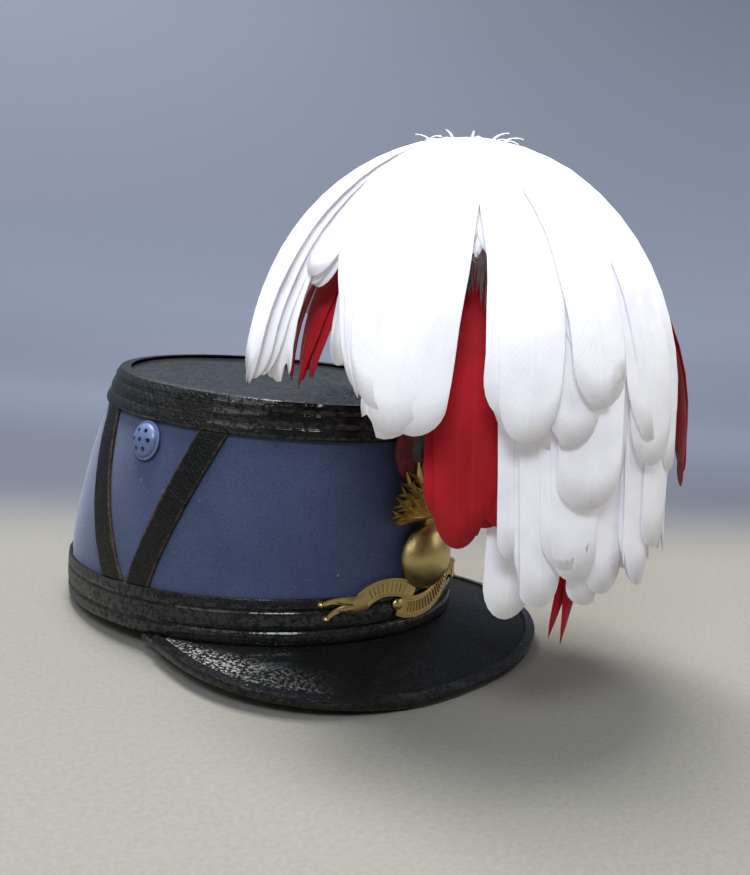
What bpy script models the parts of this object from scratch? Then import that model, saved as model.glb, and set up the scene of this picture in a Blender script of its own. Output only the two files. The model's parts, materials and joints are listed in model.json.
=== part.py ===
# A shako: an oval cloth-covered hat with leather bands, a peak, a brass badge, a cockade and a
# drooping plume. Metres, +Z up. Each piece is made in the hat's own frame, with the middle of the
# rim's underside at the origin, the front at -Y and the wearer's left at +X. At the end the hat
# leans back until it stands on the rear of its rim and the front of its peak.

import math
from collections import namedtuple

import bmesh
import bpy
from mathutils import Matrix, Vector

# Crown: half lengths run front to rear, half widths from side to side
RIM_HALF_LENGTH = 0.106
RIM_HALF_WIDTH = 0.0895
TOP_HALF_LENGTH = 0.091
TOP_HALF_WIDTH = 0.0725
TOP_SHIFT = 0.0205  # how far forward of the rim the top's middle lies
TOP_HEIGHT = 0.1143
TOP_FALL = 0.074  # how much the top drops for each metre forward
WALL = 0.0025
STRAIGHT_SHARE = 0.19  # share of the height that rises straight before the wall draws in
DRAW_IN_CURVE = 1.55
GAP = 0.0003  # clearance between pieces that touch

# Leather bands and top
LOWER_BAND_HEIGHT = 0.0209
UPPER_BAND_HEIGHT = 0.0162
BAND_THICKNESS = 0.0024
LIP_WIDTH = 0.0035
LIP_THICKNESS = 0.0011
DISC_THICKNESS = 0.002

# Peak
PEAK_REACH = 0.0385  # beyond the lower band, at the front
PEAK_DROP = 0.0187  # from the rim down to the peak's lowest edge
PEAK_THICKNESS = 0.0024
PEAK_END_TURN = 77.0  # degrees from the front to where the peak meets the band
PEAK_REST_TURN = 13.0  # the edge lies on the surface as far as this from the front
PEAK_TUCK = 0.0026  # how far it runs in under the band
PEAK_ARCH = 1.25
PEAK_LIFT = 1.05  # how slowly the edge lifts off the surface towards the ends
PEAK_PAST_END = 1.05  # above 1, the peak still has a little width where it ends
PEAK_CLOSE = 2.25  # how fast the reach runs out towards the ends
PEAK_SQUARE = 3.9  # how square the edge is between the front and the ends
BINDING_WIDTH = 0.0042
BINDING_THICKNESS = 0.0008
BINDING_ROUND = 0.7  # share of the binding's thickness that is cut off its corners

# Side straps and ventilators
STRAP_WIDTH = 0.0138
STRAP_THICKNESS = 0.0014
VENT_TURN = 88.0
VENT_CLEARANCE = 0.0005  # between a ventilator and the upper band
VENT_RADIUS = 0.0093
VENT_DOME = 0.0034
VENT_SHEET = 0.001
VENT_FLANGE = 0.0014
VENT_HOLE_RADIUS = 0.00115
VENT_HOLE_CIRCLE = 0.0048
VENT_HOLES_ROUND = 6
VENT_BORE_RADIUS = 0.006  # hole in the cloth behind a ventilator

# Cockade and badge on the front
COCKADE_RADIUS = 0.0195
COCKADE_ACROSS = 0.003  # how far it sits towards the wearer's left, as does the badge
COCKADE_RAISE = 0.0003  # of its upper edge above the top, at the front
COCKADE_THICKNESS = 0.0022
BADGE_THICKNESS = 0.0012
BADGE_ACROSS = 0.008
BALL_RADIUS = 0.0158
BALL_HEIGHT = 0.0345
BALL_DOME = 0.0105
LIFT_FROM = 0.6  # where the badge starts to lift off the cloth, in radii above the ball's middle
FLAME_LENGTH = 0.0345
FLAME_FOOT = 1.22  # where the flames start, in radii above the ball's middle
FLAME_HALF_WIDTH = 0.0026
SHORT_FLAME_HALF_WIDTH = 0.0021
FLAME_WAVE = 0.045  # sideways swing, as a share of a flame's length
FLAME_RIDGE = 1.3  # height of a flame's middle, in badge thicknesses
SCROLL_HALF_WIDTH = 0.0042
SCROLL_BORDER = 0.0004  # how far the raised border stands above the scroll
BORDER_OUTER = 0.80  # where the border's inner slope starts and ends, as shares of the half width
BORDER_INNER = 0.74
RIB_WIDTH = 0.0010
RIB_REACH = 0.5  # half of a rib's length, as a share of the scroll's half width
RIB_FOOT = 0.3  # where a rib starts inside the scroll, as a share of the badge's thickness
RIB_RISE = 0.6  # how far a rib stands up, as a share of the border
TAIL_WIDTH = 0.95  # as a share of the scroll's
BEAD_RADIUS = 0.0017
BEAD_RISE = 0.0024
CURL_RADIUS = 0.0037
CURL_RISE = 0.0024

# Plume
PLUME_AHEAD = 0.0215  # of the top's front edge
PLUME_RISE = 0.117  # above the top's front edge
PLUME_RADIUS = 0.094
PLUME_SHOULDER = 0.112  # how far the outermost lock falls before it hangs straight
LOCK_THICKNESS = 0.0056
LOCK_EDGE_SHARE = 0.35  # thickness that a lock keeps where it has no width, as a share of the full one
WHITE_HEAD_RADIUS = 0.015
RED_HEAD_DROP = 0.016  # from the white head's top to the red head's top
RED_HEAD_RADIUS = 0.012
HEAD_HEIGHT = 0.011
STEM_RADIUS = 0.0024
TANG_HALF_WIDTH = 0.004
TANG_THICKNESS = 0.0014
TANG_HEIGHT = 0.034
TANG_ABOVE_SHARE = 0.2  # share of the tang that stands above the upper band

# How finely the shapes are cut
TURN_STEPS = 36
PEAK_STEPS = 28
PEAK_ROWS = 3
STRAP_STEPS = 4
STRAP_EDGES = (-1.0, -0.5, 0.0, 0.5, 1.0)
DOME_SIDES = 14
DOME_STEPS = 4
BEAD_SIDES = 6
VENT_STEPS = 14
VENT_RINGS = 5
HOLE_SIDES = 6
ROD_SIDES = 8
STEM_ROWS = (0.0, 0.25, 0.5, 0.75, 1.0)
HEAD_ROWS = (0.08, 0.29, 0.54, 0.80, 0.92)
DOME_END = 84.0  # degrees up from a dome's foot to the edge of its flat top
SMOOTH_BELOW = 40.0  # edges that turn less than this many degrees are shaded smooth
NUDGE = 1e-3  # small step used to find which way a surface runs

CROWN_ROWS = (0.0, 0.19, 0.44, 0.72, 1.0)

# Bands in section: where on the height, and how much of the thickness stands out there
Ridge = namedtuple("Ridge", "height stand")
LOWER_BAND_RIDGES = (
    Ridge(0.00, 0.72), Ridge(0.08, 0.98), Ridge(0.24, 1.00), Ridge(0.31, 0.72), Ridge(0.39, 1.00),
    Ridge(0.66, 0.96), Ridge(0.74, 0.70), Ridge(0.82, 0.92), Ridge(1.00, 0.66),
)
UPPER_BAND_RIDGES = (
    Ridge(0.00, 0.66), Ridge(0.09, 0.96), Ridge(0.26, 0.90), Ridge(0.34, 0.70), Ridge(0.46, 0.94),
    Ridge(0.64, 0.86), Ridge(0.71, 0.68), Ridge(0.82, 0.96), Ridge(1.00, 0.60),
)

# Straps: degrees from the front at the strap's foot and at its head
Strap = namedtuple("Strap", "name foot head")
STRAPS = (Strap("front", 79.7, 66.3), Strap("rear", 89.2, 113.5))

# Cockade rings: share of the radius, and share of the thickness that stands up there
Ring = namedtuple("Ring", "radius stand")
COCKADE_RINGS = (
    Ring(0.12, 1.00), Ring(0.36, 0.90), Ring(0.40, 1.05), Ring(0.60, 0.92), Ring(0.64, 1.05),
    Ring(0.92, 0.86), Ring(1.00, 0.45),
)
COCKADE_REAR_SHARES = (1.0, 0.6, 0.12)

# Flames: degrees from upright and the share of the length, in a long layer and a short one
Flame = namedtuple("Flame", "lean length")
LONG_FLAMES = (
    Flame(-84, 0.62), Flame(-70, 0.71), Flame(-56, 0.71), Flame(-43, 0.73), Flame(-30, 0.79),
    Flame(-17, 0.87), Flame(-4, 0.99), Flame(10, 0.97), Flame(24, 0.86), Flame(38, 0.77), Flame(53, 0.72),
    Flame(69, 0.68),
)
SHORT_FLAMES = (
    Flame(-58, 0.48), Flame(-38, 0.50), Flame(-18, 0.58), Flame(2, 0.66), Flame(22, 0.58), Flame(44, 0.50),
)

# Sections along a flame or a lock: how far along it is, and its share of the full width
Section = namedtuple("Section", "along width")
FLAME_SECTIONS = (Section(0.0, 0.80), Section(0.35, 1.0), Section(0.7, 0.75), Section(1.0, 0.10))

# Neck between the ball and the flames: radii above the ball's middle, and its half width
Neck = namedtuple("Neck", "up half")
NECK_ROWS = (Neck(0.85, 0.0036), Neck(1.15, 0.0034), Neck(1.50, 0.0055))

# Scroll: places across the front and up it, as shares of the ball's radius, from the ball's middle
Place = namedtuple("Place", "across up")
SCROLL_FRONT = (
    Place(-1.16, -1.34), Place(-0.78, -1.48), Place(-0.34, -1.51), Place(0.16, -1.44), Place(0.66, -1.24),
    Place(1.04, -0.96), Place(1.32, -0.58),
)
SCROLL_ARCH = (
    Place(-0.80, -0.86), Place(-1.25, -0.72), Place(-1.70, -0.71), Place(-2.05, -0.82), Place(-2.30, -0.99),
)
SCROLL_TAIL = (Place(-2.18, -1.00), Place(-2.46, -1.07), Place(-2.76, -1.07))
TAIL_UPPER = (Place(-2.58, -0.98), Place(-2.94, -0.92), Place(-3.22, -0.93), Place(-3.47, -1.00))
TAIL_LOWER = (Place(-2.58, -1.15), Place(-2.92, -1.17), Place(-3.14, -1.25), Place(-3.33, -1.42))
PRONG_WIDTHS = (0.50, 0.44, 0.32, 0.24)  # shares of the scroll's half width along each point of the tail

# Locks of the plume: degrees from the front towards the wearer's right, then the reach and the width
# as shares of the plume's radius, and the height of the tip as a share of the plume's top
Lock = namedtuple("Lock", "azimuth reach tip width")
WHITE_LOCKS = (
    Lock(122, 0.98, 0.575, 0.32), Lock(104, 1.00, 0.540, 0.34), Lock(87, 0.96, 0.740, 0.30),
    Lock(77, 1.00, 0.535, 0.36), Lock(66, 1.01, 0.465, 0.36), Lock(29, 1.02, 0.460, 0.34),
    Lock(37, 0.94, 0.170, 0.24), Lock(20, 1.04, 0.520, 0.34), Lock(26, 0.96, 0.230, 0.24),
    Lock(17, 0.99, 0.360, 0.30), Lock(14, 0.95, 0.190, 0.26), Lock(2, 1.02, 0.410, 0.34),
    Lock(-2, 0.96, 0.200, 0.28), Lock(-10, 0.99, 0.270, 0.28), Lock(-17, 1.03, 0.380, 0.32),
    Lock(-26, 0.97, 0.235, 0.30), Lock(-31, 1.01, 0.420, 0.26), Lock(-74, 0.98, 0.360, 0.34),
    Lock(-88, 1.01, 0.500, 0.36), Lock(-106, 0.99, 0.550, 0.38), Lock(-126, 1.00, 0.590, 0.38),
    Lock(-147, 0.98, 0.590, 0.38), Lock(-168, 0.97, 0.600, 0.38), Lock(172, 0.94, 0.640, 0.36),
    Lock(152, 0.92, 0.670, 0.36), Lock(137, 0.95, 0.660, 0.34),
)
RED_LOCKS = (
    Lock(51, 0.86, 0.272, 0.26), Lock(42, 0.84, 0.300, 0.26), Lock(31, 0.83, 0.150, 0.13),
    Lock(21, 0.82, 0.175, 0.13), Lock(10, 0.82, 0.200, 0.15), Lock(-8, 0.80, 0.300, 0.30),
    Lock(-26, 0.82, 0.290, 0.30), Lock(-48, 0.98, 0.300, 0.20), Lock(-55, 1.05, 0.390, 0.24),
    Lock(-88, 0.80, 0.560, 0.30), Lock(-136, 0.82, 0.570, 0.28), Lock(180, 0.80, 0.600, 0.28),
    Lock(140, 0.83, 0.535, 0.18), Lock(86, 0.80, 0.570, 0.28),
)
LOCK_SECTIONS = (
    Section(0.03, 0.16), Section(0.25, 0.62), Section(0.52, 1.00), Section(0.82, 0.96), Section(0.95, 0.68),
    Section(1.00, 0.24),
)

Finish = namedtuple("Finish", "colour metallic roughness")
FINISHES = {
    "cloth": Finish((0.045, 0.060, 0.200), 0.0, 0.90),
    "leather": Finish((0.012, 0.012, 0.013), 0.0, 0.35),
    "painted": Finish((0.200, 0.260, 0.420), 0.0, 0.50),
    "brass": Finish((0.480, 0.360, 0.120), 1.0, 0.35),
    "cockade": Finish((0.200, 0.020, 0.030), 0.0, 0.80),
    "white": Finish((0.860, 0.850, 0.830), 0.0, 0.80),
    "red": Finish((0.420, 0.012, 0.020), 0.0, 0.80),
    "iron": Finish((0.080, 0.080, 0.080), 1.0, 0.50),
}


def clear_scene():
    for thing in list(bpy.data.objects):
        bpy.data.objects.remove(thing, do_unlink=True)


def new_collection(name, hidden=False):
    made = bpy.data.collections.new(name)
    bpy.context.scene.collection.children.link(made)
    made.hide_render = hidden
    return made


def material_of(piece_name, finish):
    row = FINISHES[finish]
    made = bpy.data.materials.new(piece_name)
    made.use_nodes = True
    shader = made.node_tree.nodes["Principled BSDF"]
    shader.inputs["Base Color"].default_value = (*row.colour, 1.0)
    shader.inputs["Metallic"].default_value = row.metallic
    shader.inputs["Roughness"].default_value = row.roughness
    return made


def object_from(bm, name, finish, collection, frame):
    """Turns a bmesh into an object that stands in the hat's own frame."""
    mesh = bpy.data.meshes.new(name)
    bm.to_mesh(mesh)
    bm.free()
    made = bpy.data.objects.new(name, mesh)
    made.data.materials.append(material_of(name, finish))
    made.parent = frame
    collection.objects.link(made)
    return made


def loft(sections, ring=False, closed=True, caps=True):
    """A bmesh through sections that have the same number of points. A ring joins the last to the first."""
    bm = bmesh.new()
    rows = [[bm.verts.new(point) for point in section] for section in sections]
    count = len(rows[0])
    pairs = list(zip(rows, rows[1:])) + ([(rows[-1], rows[0])] if ring else [])
    for row, following in pairs:
        for here in range(count if closed else count - 1):
            beyond = (here + 1) % count
            bm.faces.new((row[here], row[beyond], following[beyond], following[here]))
    if caps and closed and not ring:
        bm.faces.new(rows[0][::-1])
        bm.faces.new(rows[-1])
    bmesh.ops.recalc_face_normals(bm, faces=bm.faces)
    return bm


def shade_smooth(piece):
    piece.data.shade_smooth()
    piece.data.set_sharp_from_angle(angle=math.radians(SMOOTH_BELOW))


def mix(start, end, share):
    return start + (end - start) * share


# The crown's surface, which everything on it follows

def draw_in(share):
    """How far the wall has drawn in from the rim's size to the top's, at this share of the height."""
    risen = max(0.0, (share - STRAIGHT_SHARE) / (1.0 - STRAIGHT_SHARE))
    return risen ** DRAW_IN_CURVE


def top_at(turn):
    """Height of the top's edge at a turn, in radians from the front towards the wearer's right."""
    return TOP_HEIGHT - TOP_FALL * (TOP_HALF_LENGTH * math.cos(turn) + TOP_SHIFT)


def half_sizes(share):
    drawn = draw_in(share)
    return mix(RIM_HALF_LENGTH, TOP_HALF_LENGTH, drawn), mix(RIM_HALF_WIDTH, TOP_HALF_WIDTH, drawn)


def wall_at(turn, height, stand=0.0):
    """Point on the crown at a turn and height, standing out from the cloth."""
    share = height / top_at(turn)
    length, width = half_sizes(share)
    forward = (length + stand) * math.cos(turn) + TOP_SHIFT * draw_in(share)
    return Vector((-(width + stand) * math.sin(turn), -forward, height))


def arc_rate(turn, height):
    """Metres along the wall for each radian of turn."""
    length, width = half_sizes(height / top_at(turn))
    return math.hypot(length * math.sin(turn), width * math.cos(turn))


def turns():
    return [2.0 * math.pi * step / TURN_STEPS for step in range(TURN_STEPS)]


def crown_height(turn):
    return top_at(turn) - LIP_THICKNESS - DISC_THICKNESS - 2.0 * GAP


def make_crown(parts, cutters, frame):
    rings = [[wall_at(turn, mix(GAP, crown_height(turn), row)) for turn in turns()] for row in CROWN_ROWS]
    crown = object_from(loft(rings, caps=False), "crown", "cloth", parts, frame)
    shell = crown.modifiers.new("wall", "SOLIDIFY")
    shell.thickness = WALL
    shell.offset = -1.0
    for side, sign in (("right", 1.0), ("left", -1.0)):
        bm = bmesh.new()
        bmesh.ops.create_cone(bm, cap_ends=True, segments=DOME_SIDES, radius1=VENT_BORE_RADIUS,
                              radius2=VENT_BORE_RADIUS, depth=8.0 * WALL, matrix=vent_place(sign))
        bore = object_from(bm, "vent_bore_" + side, "cloth", cutters, frame)
        bore.display_type = "WIRE"
        cut = crown.modifiers.new("bore_" + side, "BOOLEAN")
        cut.operation = "DIFFERENCE"
        cut.object = bore
    shade_smooth(crown)


def band_sections(base_at, height, ridges, closing):
    """Sections of a band round the crown: its inner face, its ridges upwards, then what closes it."""
    sections = []
    for turn in turns():
        base = base_at(turn)
        section = [wall_at(turn, base, GAP)]
        for row in ridges:
            section.append(wall_at(turn, base + height * row.height, GAP + BAND_THICKNESS * row.stand))
        sections.append(section + closing(turn, base + height))
    return sections


def make_lower_band(parts, frame):
    def inner_top(turn, top):
        return [wall_at(turn, top, GAP)]

    sections = band_sections(lambda turn: 0.0, LOWER_BAND_HEIGHT, LOWER_BAND_RIDGES, inner_top)
    band = object_from(loft(sections, ring=True), "lower_band", "leather", parts, frame)
    shade_smooth(band)


def make_upper_band(parts, frame):
    def lip(turn, top):
        under = top - LIP_THICKNESS
        return [wall_at(turn, top, -LIP_WIDTH), wall_at(turn, under, -LIP_WIDTH), wall_at(turn, under, GAP)]

    sections = band_sections(lambda turn: top_at(turn) - UPPER_BAND_HEIGHT, UPPER_BAND_HEIGHT,
                             UPPER_BAND_RIDGES, lip)
    band = object_from(loft(sections, ring=True), "upper_band", "leather", parts, frame)
    shade_smooth(band)


def make_top_disc(parts, frame):
    rings = []
    for thickness in (DISC_THICKNESS, 0.0):
        below = LIP_THICKNESS + GAP + thickness
        rings.append([wall_at(turn, top_at(turn) - below) for turn in turns()])
    disc = object_from(loft(rings), "top_disc", "leather", parts, frame)
    shade_smooth(disc)


# Peak

def peak_turn(step):
    return math.radians(PEAK_END_TURN) * (2.0 * step / PEAK_STEPS - 1.0)


def peak_row(turn, share):
    """Point on the middle of the peak's leather, from under the band (0) to its edge (1)."""
    rear = RIM_HALF_LENGTH + GAP + BAND_THICKNESS
    end = math.radians(PEAK_END_TURN)
    rest = math.radians(PEAK_REST_TURN)
    aside = (turn / (end * PEAK_PAST_END)) ** 2
    reach = PEAK_REACH * (1.0 - aside) ** PEAK_CLOSE * (1.0 + PEAK_SQUARE * aside)
    lifted = max(0.0, (abs(turn) - rest) / (end - rest)) ** PEAK_LIFT
    inner = wall_at(turn, 0.0, GAP + BAND_THICKNESS - PEAK_TUCK)
    outer = wall_at(turn, 0.0, GAP + BAND_THICKNESS + reach)
    seat = -(GAP + PEAK_THICKNESS / 2.0)
    below = PEAK_THICKNESS / 2.0 + GAP + BINDING_THICKNESS
    floor = -PEAK_DROP * (rear - outer.y) / (rear + rear + PEAK_REACH)
    edge = seat - (1.0 - lifted) * max(0.0, seat - floor - below)
    point = inner.lerp(outer, share)
    point.z = mix(seat, edge, share ** PEAK_ARCH)
    return point


def make_peak(parts, frame):
    rows = [[peak_row(peak_turn(step), row / PEAK_ROWS) for row in range(PEAK_ROWS + 1)]
            for step in range(PEAK_STEPS + 1)]
    bm = loft(rows, closed=False)
    if sum(face.normal.z for face in bm.faces) < 0.0:
        bmesh.ops.reverse_faces(bm, faces=bm.faces)
    peak = object_from(bm, "peak", "leather", parts, frame)
    shell = peak.modifiers.new("leather", "SOLIDIFY")
    shell.thickness = PEAK_THICKNESS
    shell.offset = 0.0
    shell.use_even_offset = True
    shade_smooth(peak)


def make_peak_binding(parts, frame):
    near = PEAK_THICKNESS / 2.0 + GAP
    far = near + BINDING_THICKNESS
    tip = GAP + BINDING_THICKNESS
    corner = BINDING_THICKNESS * BINDING_ROUND
    outline = (
        (-BINDING_WIDTH, near), (-BINDING_WIDTH, far), (tip - corner, far), (tip, 0.0),
        (tip - corner, -far), (-BINDING_WIDTH, -far), (-BINDING_WIDTH, -near), (GAP, -near), (GAP, near),
    )
    sections = []
    for step in range(1, PEAK_STEPS):
        turn = peak_turn(step)
        edge = peak_row(turn, 1.0)
        out = (edge - peak_row(turn, 1.0 - NUDGE)).normalized()
        along = (peak_row(turn + NUDGE, 1.0) - peak_row(turn - NUDGE, 1.0)).normalized()
        out = (out - along * out.dot(along)).normalized()
        up = along.cross(out)
        up = up if up.z > 0.0 else -up
        sections.append([edge + out * across + up * rise for across, rise in outline])
    binding = object_from(loft(sections), "peak_binding", "leather", parts, frame)
    shade_smooth(binding)


# Straps and ventilators on the sides

def make_strap(strap, side, sign, parts, frame):
    foot, head = (math.radians(degrees) for degrees in (strap.foot, strap.head))
    low = LOWER_BAND_HEIGHT + GAP
    rise = top_at(head) - UPPER_BAND_HEIGHT - GAP - low
    run = (head - foot) * arc_rate(mix(foot, head, 0.5), low + rise / 2.0)
    half = STRAP_WIDTH / 2.0 * math.hypot(run, rise) / rise
    sections = []
    for step in range(STRAP_STEPS + 1):
        share = step / STRAP_STEPS
        middle = mix(foot, head, share)
        swing = half / arc_rate(middle, low + rise * share)
        section = []
        for stand, order in ((GAP, STRAP_EDGES), (GAP + STRAP_THICKNESS, STRAP_EDGES[::-1])):
            for edge in order:
                turn = middle + swing * edge
                height = mix(low, top_at(turn) - UPPER_BAND_HEIGHT - GAP, share)
                section.append(wall_at(sign * turn, height, stand))
        sections.append(section)
    name = "chevron_" + strap.name + "_" + side
    piece = object_from(loft(sections), name, "leather", parts, frame)
    shade_smooth(piece)


def vent_place(sign, stand=0.0):
    """Matrix that puts a ventilator's axis square to the wall, close under the upper band."""
    turn = sign * math.radians(VENT_TURN)
    height = top_at(turn) - UPPER_BAND_HEIGHT - VENT_CLEARANCE - VENT_RADIUS
    here = wall_at(turn, height)
    along = wall_at(turn + NUDGE, height) - wall_at(turn - NUDGE, height)
    up = wall_at(turn, height + NUDGE) - wall_at(turn, height - NUDGE)
    out = along.cross(up).normalized()
    out = out if out.x * sign < 0.0 else -out
    turned = out.to_track_quat("Z", "Y").to_matrix().to_4x4()
    return Matrix.Translation(here + out * stand) @ turned


def make_vent(side, sign, parts, cutters, frame):
    dome_radius = VENT_RADIUS - VENT_FLANGE
    arc = [math.pi / 2.0 * (1.0 - ring / VENT_RINGS) for ring in range(VENT_RINGS + 1)]
    outer = [(dome_radius * math.cos(angle), VENT_SHEET + VENT_DOME * math.sin(angle)) for angle in arc]
    inner_radius = dome_radius - VENT_SHEET
    inner = [(inner_radius * math.cos(angle), VENT_DOME * math.sin(angle)) for angle in reversed(arc)]
    profile = outer + [(VENT_RADIUS, VENT_SHEET), (VENT_RADIUS, 0.0)] + inner
    bm = bmesh.new()
    corners = [bm.verts.new((across, 0.0, up)) for across, up in profile]
    for start, end in zip(corners, corners[1:]):
        bm.edges.new((start, end))
    vent = object_from(bm, "vent_" + side, "painted", parts, frame)
    turned = vent.modifiers.new("turned", "SCREW")
    turned.steps = turned.render_steps = VENT_STEPS
    turned.use_merge_vertices = True
    turned.merge_threshold = GAP / 3.0
    turned.use_normal_calculate = True

    bm = bmesh.new()
    spots = [(0.0, 0.0)]
    for step in range(VENT_HOLES_ROUND):
        angle = 2.0 * math.pi * step / VENT_HOLES_ROUND
        spots.append((VENT_HOLE_CIRCLE * math.cos(angle), VENT_HOLE_CIRCLE * math.sin(angle)))
    for across, along in spots:
        bmesh.ops.create_cone(bm, cap_ends=True, segments=HOLE_SIDES, radius1=VENT_HOLE_RADIUS,
                              radius2=VENT_HOLE_RADIUS, depth=4.0 * VENT_DOME,
                              matrix=Matrix.Translation((across, along, VENT_DOME)))
    holes = object_from(bm, "vent_holes_" + side, "painted", cutters, frame)
    holes.display_type = "WIRE"
    cut = vent.modifiers.new("holes", "BOOLEAN")
    cut.operation = "DIFFERENCE"
    cut.object = holes
    curve_sag = VENT_RADIUS ** 2 / (2.0 * RIM_HALF_WIDTH)
    vent.matrix_local = vent_place(sign, GAP + curve_sag)
    holes.matrix_local = vent.matrix_local
    shade_smooth(vent)


# Things on the front follow the wall's curve: across is measured along the cloth to the wearer's left

def front_turn(across, height):
    steps = 12
    turn = 0.0
    for _ in range(steps):
        turn += across / steps / arc_rate(turn, height)
    return -turn


def front_point(across, height, stand):
    return wall_at(front_turn(across, height), height, stand)


def tang_stand():
    """The plume's tang lies on the upper band."""
    return GAP + BAND_THICKNESS + GAP


def cockade_stand():
    """The cockade lies on the tang."""
    return tang_stand() + TANG_THICKNESS + GAP


def cockade_height():
    return top_at(0.0) + COCKADE_RAISE - COCKADE_RADIUS


def make_cockade(parts, frame):
    stand = cockade_stand()
    sides = [2.0 * math.pi * step / DOME_SIDES for step in range(DOME_SIDES)]

    def ring(radius, rise):
        return [front_point(COCKADE_ACROSS + COCKADE_RADIUS * radius * math.sin(side),
                            cockade_height() + COCKADE_RADIUS * radius * math.cos(side), stand + rise)
                for side in sides]

    front = [ring(row.radius, COCKADE_THICKNESS * row.stand) for row in COCKADE_RINGS]
    rear = [ring(radius, 0.0) for radius in COCKADE_REAR_SHARES]
    cockade = object_from(loft(front + rear), "cockade", "cockade", parts, frame)
    shade_smooth(cockade)


def badge_stand(height):
    """The badge stands on the lower band below, and clear of the cockade above."""
    low = GAP + BAND_THICKNESS + GAP
    high = cockade_stand() + COCKADE_THICKNESS * max(row.stand for row in COCKADE_RINGS) + GAP
    lift_start = BALL_HEIGHT + BALL_RADIUS * LIFT_FROM
    cockade_foot = cockade_height() - COCKADE_RADIUS
    share = min(1.0, max(0.0, (height - lift_start) / (cockade_foot - lift_start)))
    return mix(low, high, share)


def badge_point(across, height, rise):
    return front_point(BADGE_ACROSS + across, height, badge_stand(height) + rise)


def dome(across, height, radius, rise, sides, steps, base=0.0):
    """A dome on the badge, with its middle at (across, height)."""
    rings = []
    for step in range(steps + 1):
        angle = math.radians(DOME_END) * step / steps
        reach = radius * math.cos(angle)
        rings.append([badge_point(across + reach * math.sin(2.0 * math.pi * side / sides),
                                  height + reach * math.cos(2.0 * math.pi * side / sides),
                                  base + rise * math.sin(angle)) for side in range(sides)])
    return loft(rings)


def strip(path, halves, outline, base=0.0):
    """A raised strip along a path of (across, height), with an outline of (share across, rise)."""
    sections = []
    for here, (middle, half) in enumerate(zip(path, halves)):
        before, after = path[max(0, here - 1)], path[min(len(path) - 1, here + 1)]
        along = Vector((after[0] - before[0], after[1] - before[1])).normalized()
        sections.append([badge_point(middle[0] - along.y * half * side, middle[1] + along.x * half * side,
                                     base + rise) for side, rise in outline])
    return loft(sections)


def places(table, mirror=1.0):
    """Points (across, height) of a table of places."""
    return [(mirror * place.across * BALL_RADIUS, BALL_HEIGHT + place.up * BALL_RADIUS) for place in table]


def smooth_path(points, count):
    """A rounder path through the points of a table."""
    finer = []
    last = len(points) - 1
    for step in range(count + 1):
        place = step / count * last
        here = min(int(place), last - 1)
        share = place - here
        knots = [Vector(points[min(last, max(0, here + offset))]) for offset in (-1, 0, 1, 2)]
        before, start, end, after = knots
        finer.append(0.5 * (2.0 * start + (end - before) * share
                            + (2.0 * before - 5.0 * start + 4.0 * end - after) * share ** 2
                            + (3.0 * start - before - 3.0 * end + after) * share ** 3))
    return finer


def ribbon(points, base, count):
    """A band with a raised border along both edges."""
    top = BADGE_THICKNESS
    floor = top - SCROLL_BORDER
    outline = ((-1, 0), (-1, top), (-BORDER_OUTER, top), (-BORDER_INNER, floor),
               (BORDER_INNER, floor), (BORDER_OUTER, top), (1, top), (1, 0))
    path = smooth_path(points, count)
    return strip(path, [SCROLL_HALF_WIDTH] * len(path), outline, base)


def ribs(points, base, count, first, last):
    """Plain raised bars across a ribbon, at the steps of its path from first to last."""
    path = smooth_path(points, count)
    low = BADGE_THICKNESS * RIB_FOOT
    high = BADGE_THICKNESS + SCROLL_BORDER * RIB_RISE
    outline = ((-1, low), (-1, high), (1, high), (1, low))
    made = []
    for here in range(first, last + 1):
        along = (path[here + 1] - path[here - 1]).normalized()
        across = Vector((-along.y, along.x)) * SCROLL_HALF_WIDTH * RIB_REACH
        bar = [path[here] - across, path[here] + across]
        made.append(strip(bar, [RIB_WIDTH / 2.0] * 2, outline, base))
    return made


def flame(row, base, half_width, wave):
    """A wavy tongue that starts at the ball's neck."""
    foot = Vector((0.0, BALL_HEIGHT + BALL_RADIUS * FLAME_FOOT))
    lean = math.radians(row.lean)
    along = Vector((math.sin(lean), math.cos(lean)))
    across = Vector((along.y, -along.x))
    length = FLAME_LENGTH * row.length
    path = [foot + length * (along * place.along + across * wave * math.sin(2.0 * math.pi * place.along))
            for place in FLAME_SECTIONS]
    halves = [half_width * place.width for place in FLAME_SECTIONS]
    return strip(path, halves, ((-1, 0), (0, BADGE_THICKNESS * FLAME_RIDGE), (1, 0)), base)


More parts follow.
